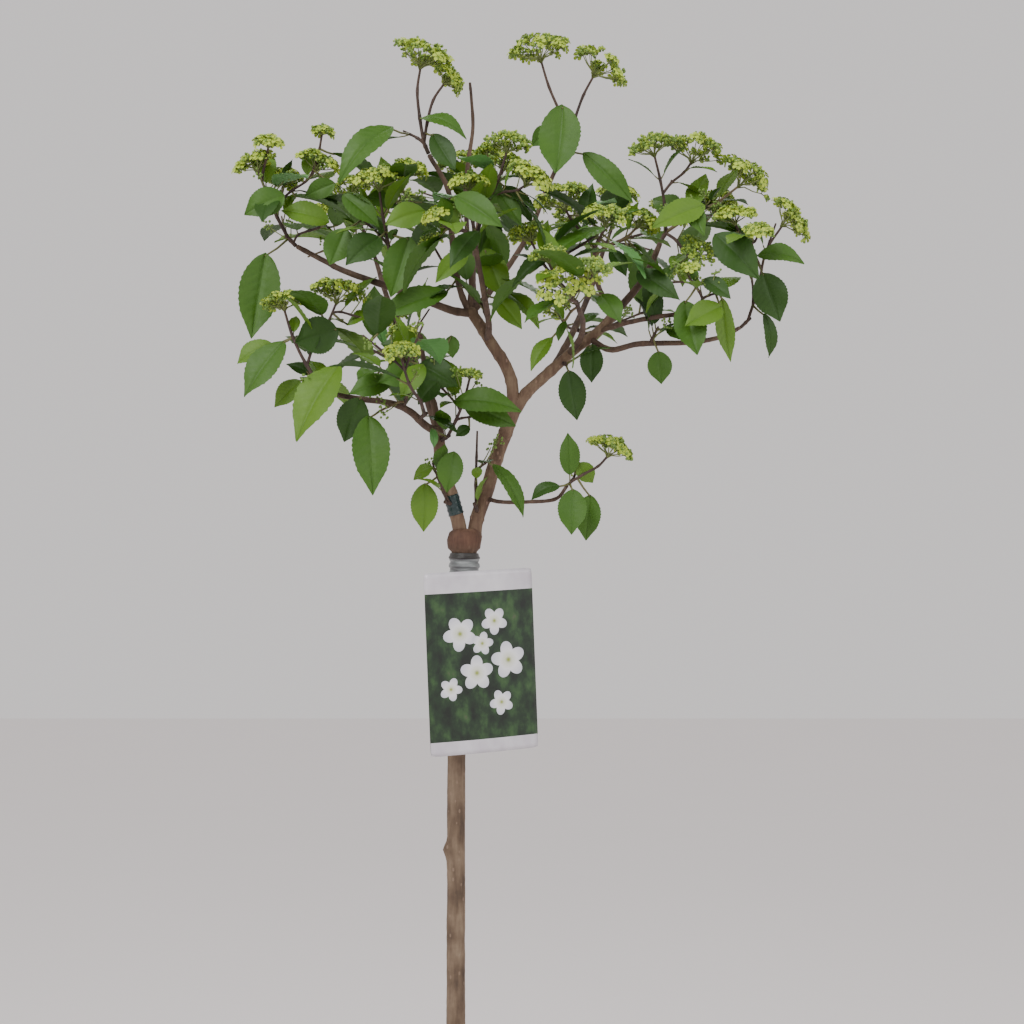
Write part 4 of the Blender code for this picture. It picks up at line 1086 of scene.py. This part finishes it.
def makeLimbs():
    p = boughPlan
    heaps = {"stem_wood": Heap(), "bough_wood": Heap()}
    nodes = {"stem_wood": [], "bough_wood": []}
    for number, (name, (places, first, last)) in enumerate(limbPlans.items()):
        spots = [seen(*place) for place in places]
        line, fine = through(spots, 2), through(spots, 12)
        n = len(line) - 1
        limbs[name] = Limb(line, [(first + (last - first) * i / n) * mm for i in range(n + 1)])
        n = len(fine) - 1
        radii = []
        for i in range(n + 1):
            swell = 1 + p["swell"] * max(0.0, math.sin(i * 0.42 + number)) ** 8
            radii.append((first + (last - first) * i / n) * mm * 0.985 * swell)
        fine = [*fine, fine[-1] + (fine[-1] - fine[-2]).normalized() * radii[-1] * 0.5]
        radii.append(radii[-1] * 0.55)
        kind = "stem_wood" if name in p["stems"] else "bough_wood"
        size = 0 if first > p["thickFrom"] else 1
        seedSpot = Vector((number * 7.3, 0, 0))
        heaps[kind].add(tube(fine, radii, p["sides"][size], p["relief"][size] * mm, seedSpot))
        nodes[kind].append(name)
    for kind, heap in heaps.items():
        finishPiece(kind, heap.verts, heap.faces, barkFinish(kind), "bough_bark", nodes[kind])


# Foliage

leafPlan = {
    "rows": (30, 12),  # of a large and a small leaf
    "small": 20 * mm,
    "columns": (-1, -0.78, -0.54, -0.3, -0.08, 0, 0.08, 0.3, 0.54, 0.78, 1),
    "cup": (0.1, 0.24),
    "teeth": (0.03, -0.02),
    "toothed": (0.12, 0.94),
    "veins": 9,
    "veinSlant": 1.7,
    "veinDepth": 0.03,
    "midrib": -0.014,
    "wave": 0.03,
    "slide": 0.05,
}


def leafShape(base, tip, facing, width, arch, rng):
    # An ovate leaf with sunk side veins, a toothed edge and a drawn-out tip.
    p = leafPlan
    length = (tip - base).length
    axis = (tip - base).normalized()
    across = axis.cross(facing).normalized()
    normal = across.cross(axis).normalized()
    rows = p["rows"][1 if length < p["small"] else 0]
    cup = rng.uniform(*p["cup"])
    ruffle = rng.uniform(0, 6.28)
    verts, faces = [], []
    for i in range(rows + 1):
        t = i / rows
        body = math.sin(math.pi * min(1, t ** 0.78)) ** 0.72 if t < 1 else 0
        half = 0.5 * width * max(0.02, body * (1 - 0.42 * max(0, t - 0.72) / 0.28))
        tooth = 1 + p["teeth"][0 if i % 2 else 1] * (1 if p["toothed"][0] < t < p["toothed"][1] else 0)
        rise = arch * 4 * t * (1 - t) * 0.95
        for c in p["columns"]:
            fold = abs(c) * half * cup
            pleat = math.cos(2 * math.pi * (t * p["veins"] - abs(c) * p["veinSlant"])) * p["veinDepth"] * length
            pleat = pleat * (1 - abs(c) * 0.4) * min(1, body) * min(1, 4 * abs(c))
            vein = p["midrib"] * length * (1 if c == 0 else 0)
            wave = p["wave"] * width * math.sin(t * 9 + ruffle + c * 2) * abs(c)
            slide = p["slide"] * length * abs(c) * body
            reach = half * (tooth if abs(c) == 1 else 1) * c
            verts.append(base + axis * (length * t * 0.99 + slide * (1 - t)) + across * reach
                         + normal * (rise + fold + pleat * 0.5 + vein + wave))
    n = len(p["columns"])
    for i in range(rows):
        for k in range(n - 1):
            a, b = i * n + k, (i + 1) * n + k
            faces.append((a, a + 1, b + 1, b))
    return verts, faces


def stalk(start, end, radius):
    middle = start.lerp(end, 0.5) - Vector((0, 0, 0.04)) * (end - start).length
    return outward(tube([start, middle, end], [radius * 1.15, radius, radius * 0.9], 5))


def budPiece(spot):
    return "flower_buds_west" if spot.x < forkAcross + eyeAcross else "flower_buds_east"


def inCube(rng):
    return Vector([rng.uniform(-1, 1) for _ in range(3)])


# Each piece of foliage: its material's name, two colours and roughness. Twigs take a bark.
foliageLooks = {
    "leaves_deep": ("leaf_deep", (0.019, 0.062, 0.006), (0.042, 0.108, 0.011), 0.5),
    "leaves_mid": ("leaf_mid", (0.042, 0.118, 0.009), (0.075, 0.175, 0.015), 0.5),
    "leaves_bright": ("leaf_bright", (0.085, 0.19, 0.012), (0.14, 0.265, 0.02), 0.5),
    "leaves_bluish": ("leaf_bluish", (0.085, 0.24, 0.055), (0.13, 0.32, 0.09), 0.42),
    "leaf_stalks": ("leaf_stalk", (0.16, 0.19, 0.05), (0.12, 0.09, 0.04), 0.55),
    "twig_wood": ("twig_wood",),
    "young_shoots": ("young_shoot", (0.17, 0.13, 0.05), (0.1, 0.06, 0.035), 0.6),
    "flower_rays": ("flower_ray", (0.2, 0.26, 0.07), (0.14, 0.15, 0.05), 0.6),
    "flower_buds_west": ("flower_bud", (0.2, 0.32, 0.05), (0.11, 0.2, 0.035), 0.55),
    "flower_buds_east": ("flower_bud", (0.2, 0.32, 0.05), (0.11, 0.2, 0.035), 0.55),
    "bright_buds": ("bright_bud", (0.42, 0.55, 0.06), (0.28, 0.42, 0.05), 0.55),
    "lime_florets": ("lime_floret", (0.5, 0.62, 0.06), (0.36, 0.5, 0.05), 0.6),
}

headPlan = {
    "hub": 0.42,  # how far the rays' hub is under the head, as a share of its size
    "rays": (7, 2.6 * mm),  # the fewest, and one more for each of these
    "reach": (0.24, 0.5, 0.8),  # how far out the middle, inner and outer rays end
    "dome": (0.34, 0.4),  # how high the middle stands, and how much lower the edge is
    "rayRadii": [0.55 * mm, 0.5 * mm, 0.42 * mm, 0.35 * mm],
    "tuftRadii": [0.34 * mm, 0.26 * mm],
    "tufts": (4, 6),
    "buds": (5, 8),
    "budSize": (0.75, 1.25),
    "brightBuds": 0.45,
    "limeHeads": 0.8,
    "limeTufts": (0.62, 0.3),  # share of the outer and inner tufts that carry a floret
    "floretSize": (2.2, 3.4),
    "petalRows": [(0.5, 0.34, 0.1), (0.95, 0.48, 0.14), (1.28, 0.26, 0.02)],  # reach, half width, rise
}


class Dressing:
    # Collects the finer growth of every mass, by kind.

    def __init__(self):
        self.heaps = {name: Heap() for name in foliageLooks}

    def head(self, goal, axis, size, rng):
        p = headPlan
        side = axis.orthogonal().normalized()
        hub = goal - axis * p["hub"] * size
        rays = p["rays"][0] + int(size / p["rays"][1])
        lime = rng.random() < p["limeHeads"]
        for r in range(rays):
            out = p["reach"][0] if r == 0 else p["reach"][1 if r % 3 == 1 else 2] * rng.uniform(0.88, 1.1)
            turn = Quaternion(axis, 2.4 * r + rng.uniform(-0.25, 0.25)) @ side
            rise = p["dome"][0] - p["dome"][1] * out * out + rng.uniform(-0.09, 0.09)
            knob = goal + turn * out * size + axis * size * rise
            ray = bend(hub, axis, knob, (turn * out + axis).normalized(), 3)
            self.heaps["flower_rays"].add(tube(ray, p["rayRadii"], 4))
            tufts = rng.randint(*p["tufts"])
            for s in range(tufts):
                way = (turn * (0.4 + out) * 0.5 + axis * 0.9).normalized()
                angle = 6.28 * s / tufts + rng.uniform(-0.3, 0.3)
                spread = Quaternion(way, angle) @ way.orthogonal().normalized()
                tuft = knob + spread * size * rng.uniform(0.1, 0.19) + way * size * rng.uniform(0.03, 0.16)
                self.heaps["flower_rays"].add(tube([knob, tuft], p["tuftRadii"], 3))
                heading = (tuft - knob).normalized()
                self.tuft(tuft, heading, budPiece(goal), rng)
                if lime and rng.random() < p["limeTufts"][0 if out > 0.5 else 1]:
                    self.floret(tuft + heading * 1.6 * mm, (heading + axis * 0.6).normalized(), rng)

    def tuft(self, centre, heading, piece, rng):
        p = headPlan
        for _ in range(rng.randint(*p["buds"])):
            offset = inCube(rng).normalized()
            place = centre + (offset + heading * 0.4) * rng.uniform(0.8, 2.3) * mm
            radius = rng.uniform(*p["budSize"]) * mm
            kind = "bright_buds" if rng.random() < p["brightBuds"] else piece
            self.heaps[kind].add(budShape(place, (heading + offset * 0.5).normalized(), radius, radius * 2.2))

    def floret(self, centre, axis, rng):
        # Five small petals.
        side = axis.orthogonal().normalized()
        first = rng.uniform(0, 6.28)
        size = rng.uniform(*headPlan["floretSize"]) * mm
        for k in range(5):
            out = Quaternion(axis, first + 2 * math.pi * k / 5) @ side
            wing = axis.cross(out).normalized()
            verts = [centre + out * 0.2 * size]
            for reach, half, rise in headPlan["petalRows"]:
                middle = centre + out * reach * size + axis * rise * size
                verts += [middle - wing * half * size, middle + wing * half * size]
            self.heaps["lime_florets"].add((verts, [(2, 1, 0), (2, 4, 3, 1), (4, 6, 5, 3)]))


# The finer growth of a mass.
finePlan = {
    "youngShoots": 0.3,  # share of the twigs that are still green
    "joint": (1.18, 0.95),  # how thick a twig is at a joint and between joints
    "deepLeaves": 0.46,
    "midLeaves": 0.8,
    "bluishLeaves": 0.07,
    "smallLeaves": 0.56,  # share of the joints with a small leaf
    "looseBuds": 0.84,  # share with a leaf or loose buds, and the rest have a plain bud
    "leafLength": (14, 34),
    "sprigLength": (10, 20),
    "sprigRadii": [0.6 * mm, 0.5 * mm, 0.4 * mm],
    "sprigBuds": (8, 16),
}


def growMass(name, plan, dressing):
    p = finePlan
    mass = Mass(name, plan)
    mass.grow()
    rng = random.Random(f"fine {name}")
    spray = rng.random()
    for number, (line, radii) in enumerate(mass.twigs):
        steps = 4
        fine = through(line, steps) if len(line) > 2 else line
        n = len(fine) - 1
        sizes = []
        for i in range(n + 1):
            spot = i / steps
            j = min(int(spot), len(radii) - 2)
            size = radii[j] + (radii[j + 1] - radii[j]) * (spot - j)
            sizes.append(size * p["joint"][0 if i % steps == 0 and 0 < i < n else 1])
        kind = "young_shoots" if number > 2 and rng.random() < p["youngShoots"] else "twig_wood"
        dressing.heaps[kind].add(outward(tube(fine, sizes, 7)))
        growFiner(mass, line, radii, dressing, rng)
    for root, base, tip, facing, width, arch in mass.blades:
        height = (base.z - forkZ) / (240 * mm)
        draw = rng.random() + 0.25 * (spray - 0.5)
        tone = "leaves_mid" if draw < p["midLeaves"] else "leaves_bright"
        if draw < p["deepLeaves"] - 0.2 * height:
            tone = "leaves_deep"
        if rng.random() < p["bluishLeaves"]:
            tone = "leaves_bluish"
        dressing.heaps[tone].add(leafShape(base, tip, facing, width, arch, rng))
        dressing.heaps["leaf_stalks"].add(stalk(root, base + (tip - base) * 0.04, 0.75 * mm))
    for goal, axis, size in mass.heads:
        dressing.head(goal, axis, size, rng)


def growFiner(mass, line, radii, dressing, rng):
    # Pairs of small leaves, side twigs and buds at the joints of a twig.
    p, heaps = finePlan, dressing.heaps
    along = directions(line)
    for i in range(1, len(line) - 1):
        side = Quaternion(along[i], rng.uniform(0, 3)) @ along[i].orthogonal().normalized()
        for sign in (1, -1):
            out = (side * sign + along[i] * 0.9 + Vector((0, 0, 0.25))).normalized()
            root = line[i] + out * radii[i] * 0.4
            draw = rng.random()
            if draw < p["smallLeaves"]:
                base = root + out * rng.uniform(4, 8) * mm
                length = rng.uniform(*p["leafLength"]) * mm
                tip = base + (out + Vector((0, 0, rng.uniform(-0.7, 0.1)))).normalized() * length
                if not mass.hasRoom(base, tip):
                    continue
                tone = rng.choice(("leaves_mid", "leaves_bright", "leaves_bright", "leaves_deep"))
                facing = Vector((0, -0.25, 1)) + out * 0.3
                heaps[tone].add(leafShape(base, tip, facing, length * 0.5, length * 0.07, rng))
                heaps["leaf_stalks"].add(stalk(root, base, 0.5 * mm))
            elif draw < p["looseBuds"]:
                end = root + (out + Vector((0, 0, 0.5))).normalized() * rng.uniform(*p["sprigLength"]) * mm
                if not mass.hasRoom(root, end):
                    continue
                sprig = [root, root.lerp(end, 0.5) + out * mm, end]
                heaps["flower_rays"].add(outward(tube(sprig, p["sprigRadii"], 4)))
                for _ in range(rng.randint(*p["sprigBuds"])):
                    offset = inCube(rng) * 3.4 * mm
                    heaps[budPiece(end)].add(budShape(end + offset, Vector((0, 0, 1)), 0.95 * mm, 2.1 * mm))
            else:
                heaps["twig_wood"].add(budShape(root + out * radii[i] * 0.7, out, 0.8 * mm, 2.6 * mm))


def makeFoliage():
    for name in ["trunk", *limbPlans]:
        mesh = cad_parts[name].data
        faces = [tuple(face.vertices) for face in mesh.polygons]
        limbTrees.append(BVHTree.FromPolygons([v.co for v in mesh.vertices], faces))
    dressing = Dressing()
    for name, plan in massPlans.items():
        growMass(name, plan, dressing)
    finishes = {}
    for name, heap in dressing.heaps.items():
        look = foliageLooks[name]
        if look not in finishes:
            make = leafFinish if name.startswith("leaves") else barkFinish if len(look) == 1 else plainFinish
            finishes[look] = make(*look)
        nodes = list(massPlans) if name == "leaves_mid" else []
        finishPiece(name, heap.verts, heap.faces, finishes[look], "foliage", nodes)
        print(name, len(heap.faces), "faces")


# Tie, tape, card and strap

tiePlan = {
    "across": -1.9 * mm,  # its middle, from the fork
    "ends": (9.35, 32.4, 18.3),  # radius of its ends, and where they are below the fork, in millimetres
    "turns": 41,
    "pitch": 0.35,
    "radius": (10.35, 0.5, 0.12),  # the middle one, its ribs and its unevenness
    "slant": 0.6,  # the wraps lie this much askew
    "sides": 40,
    "greys": [(0.32, (0.08, 0.08, 0.085)), (0.52, (0.2, 0.215, 0.215)), (0.75, (0.42, 0.44, 0.44))],
    # painted shade: the top band of the tie, under the overhanging knuckle, is painted this near-black colour,
    # from this far below the fork upwards
    "paintedShade": (0.035, 0.032, 0.03),
    "paintedShadeBelow": 22.4 * mm,
}
tapePlan = {
    "from": 0.3,  # shares of the left stem
    "step": 0.022,
    "rings": 12,
    "thick": (0.55, 0.25),
    "colours": ((0.012, 0.03, 0.032), (0.03, 0.055, 0.055)),
}


def makeTies():
    p = tiePlan
    middle = forkAcross + p["across"]
    radius, low, high = p["ends"]
    size, ribs, uneven = p["radius"]
    rows = [(radius, low)]
    for i in range(p["turns"]):
        below = low - p["pitch"] * i
        rows.append((size + ribs * math.cos((32.5 - below) * 1.15) + uneven * math.sin(below * 3), below))
    rows.append((radius, high))
    verts = []
    for radius, below in rows:
        for k in range(p["sides"]):
            turn = 2 * math.pi * k / p["sides"]
            height = forkZ - (below + p["slant"] * math.sin(turn + 0.6) * 0.5) * mm
            verts.append(Vector((middle + radius * mm * math.cos(turn), radius * mm * math.sin(turn), height)))
    faces = [tuple(i % len(verts) for i in face) for face in ringFaces(len(rows) + 1, p["sides"])]
    made = Finish("tie_tape", 0.38)
    colour = made.ramp(made.grain(160, 4, made.stretched((0.4, 0.4, 2.5))), p["greys"])
    rise = made.part(made.place(), 2)
    # The top band of the tie is painted near black, as painted shade under the knuckle.
    made.base(made.blend(rise > forkZ - p["paintedShadeBelow"], colour, p["paintedShade"]))
    made.bump(made.grain(300, 3, made.stretched((0.3, 0.3, 3))), 0.5, 0.001)
    finishPiece("tie_tape", *outward((verts, faces)), made.material, "tie_tape", ["trunk_tie"])

    p = tapePlan
    spots = [limbs["left_stem"].at(p["from"] + p["step"] * i) for i in range(p["rings"])]
    radii = [spot[2] + (p["thick"][0] + p["thick"][1] * math.cos(i * 2.1)) * mm for i, spot in enumerate(spots)]
    shape = outward(tube([spot[0] for spot in spots], radii, 24, 0.1 * mm, Vector((3, 1, 2))))
    finishPiece("graft_tape", *shape, plainFinish("graft_tape", *p["colours"], 0.25, 200), "tie_tape")


cardPlan = {
    "width": 78 * mm,
    "height": 123 * mm,
    "thick": 0.6 * mm,
    "centre": (10, -93, -26),
    "turn": 22,
    "tilt": -2.4,
    "bow": -2.5 * mm,
    "columns": 24,
    "rows": 36,
    "blooms": [  # across and up the card, and size
        (0.3, 0.66, 0.15), (0.62, 0.72, 0.12), (0.74, 0.5, 0.16), (0.44, 0.44, 0.15),
        (0.2, 0.36, 0.1), (0.66, 0.27, 0.11), (0.5, 0.6, 0.1),
    ],
    "leafy": [
        (0.36, (0.004, 0.009, 0.005)), (0.5, (0.012, 0.032, 0.012)), (0.64, (0.035, 0.09, 0.025)),
        (0.75, (0.1, 0.09, 0.06)),
    ],
    "petals": [
        (0.05, (0.3, 0.36, 0.06)), (0.2, (0.72, 0.74, 0.6)), (0.5, (0.86, 0.86, 0.88)),
        (0.95, (0.66, 0.66, 0.74)),
    ],
    "bands": (0.885, 0.075),  # the pale bands start above and below these heights
    "bandColours": [(0.3, (0.56, 0.52, 0.58)), (0.7, (0.74, 0.72, 0.76))],
}


def cardFinish():
    # A print of pale five-petal flowers on dark green, between two plain bands.
    p = cardPlan
    made = Finish("printed_card", 0.32, Coat_Weight=0.3)
    place = made.place("UV")
    x, y = made.part(place, 0), made.part(place, 1)
    colour = made.ramp(made.grain(7, 6, place), p["leafy"])
    for u, v, size in p["blooms"]:
        across, up = x - u, (y - v) * 1.58
        far = (across * across + up * up).op("SQRT")
        petals = (up.op("ARCTAN2", across) * 2.5 + u * 9).op("SINE").op("ABSOLUTE") * 0.42 + 0.6
        colour = made.blend(far < petals * size, colour, made.ramp(far / size, p["petals"]))
    bands = (y > p["bands"][0]) + (y < p["bands"][1])
    made.base(made.blend(bands, colour, made.ramp(made.grain(5, 2, place), p["bandColours"])))
    made.bump(made.grain(900, 2), 0.05, 0.0003)
    return made.material


def makeCard():
    p = cardPlan
    width, height, columns, rows = p["width"], p["height"], p["columns"], p["rows"]
    centre = seen(*p["centre"])
    turn = Quaternion((0, 0, 1), math.radians(p["turn"])) @ Quaternion((0, 1, 0), math.radians(p["tilt"]))
    verts, uvs = [], []
    for layer in (-1, 1):
        for j in range(rows + 1):
            for i in range(columns + 1):
                u, v = i / columns, j / rows
                x, z = (u - 0.5) * width, (v - 0.5) * height
                corner = min(u, 1 - u) * width + min(v, 1 - v) * height
                trim = 1 - 0.012 * max(0, 1 - corner / (4 * mm))
                bow = p["bow"] * (1 - (2 * x / width) ** 2)
                verts.append(centre + turn @ Vector((x * trim, bow + layer * p["thick"] / 2, z * trim)))
                uvs.append((u if layer < 0 else 0.97 * u, v if layer < 0 else 0.99))  # the back is plain
    across, n = columns + 1, (columns + 1) * (rows + 1)
    faces = []
    for j in range(rows):
        for i in range(columns):
            a = j * across + i
            b = a + across
            faces += [(a, a + 1, b + 1, b), (n + a, n + b, n + b + 1, n + a + 1)]
    rim = list(range(across))
    rim += [across * j + columns for j in range(1, rows + 1)]
    rim += [across * rows + i for i in range(columns - 1, -1, -1)]
    rim += [across * j for j in range(rows - 1, 0, -1)]
    faces += [(a, n + a, n + b, b) for a, b in zip(rim, [*rim[1:], rim[0]])]
    finishPiece("printed_card", verts, faces, cardFinish(), "printed_card", ["card"], uvs=uvs)
    clear = Finish("clear_strap", 0.12, Alpha=0.55)
    clear.base(clear.blend(clear.grain(120), (0.78, 0.8, 0.82), (0.68, 0.7, 0.73)))
    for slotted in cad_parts["card_strap"].material_slots:
        slotted.material = clear.material


# Camera, floor and light

stagePlan = {
    "sensor": 36,
    "lens": 66.24,
    "floorHalf": 6,
    "floorColours": ((0.92, 0.885, 0.88), (0.9, 0.865, 0.86)),
    "sky": (0.83, 0.795, 0.79, 1),
    "lamps": {  # place, size and power
        "key": ((-0.9, -1.4, 2.3), 1.3, 30),
        "fill": ((1.4, -1.1, 1.6), 1.2, 8),
        "back": ((0.3, 1.3, 2.1), 1.0, 8),
    },
    "aim": (0, 0, 0.9),
}


def makeStage():
    p = stagePlan
    camera = bpy.data.cameras.new("camera")
    camera.sensor_width = p["sensor"]
    camera.lens = p["lens"]
    viewer = bpy.data.objects.new("camera", camera)
    viewer.location = eye
    viewer.rotation_euler = (math.radians(90), 0, 0)
    bpy.context.collection.objects.link(viewer)
    bpy.context.scene.camera = viewer
    bm = bmesh.new()
    bmesh.ops.create_grid(bm, x_segments=2, y_segments=2, size=p["floorHalf"])
    mesh = bpy.data.meshes.new("floor")
    bm.to_mesh(mesh)
    bm.free()
    floor = bpy.data.objects.new("floor", mesh)
    bpy.context.collection.objects.link(floor)
    mesh.materials.append(plainFinish("floor", *p["floorColours"], 0.9, 3, 0.02))
    world = bpy.data.worlds.new("soft_sky")
    bpy.context.scene.world = world
    world.use_nodes = True
    sky = world.node_tree.nodes["Background"]
    sky.inputs[0].default_value = p["sky"]
    sky.inputs[1].default_value = 1.0
    for name, (spot, size, power) in p["lamps"].items():
        lamp = bpy.data.lights.new(name, "AREA")
        lamp.size = size
        lamp.energy = power
        body = bpy.data.objects.new(name, lamp)
        body.location = spot
        body.rotation_euler = (Vector(spot) - Vector(p["aim"])).to_track_quat("Z", "Y").to_euler()
        bpy.context.collection.objects.link(body)


print("stage")
makeStage()
print("pot and soil")
makePot()
makeSoil()
print("trunk and boughs")
makeTrunk()
makeLimbs()
print("foliage")
makeFoliage()
print("ties and card")
makeTies()
makeCard()
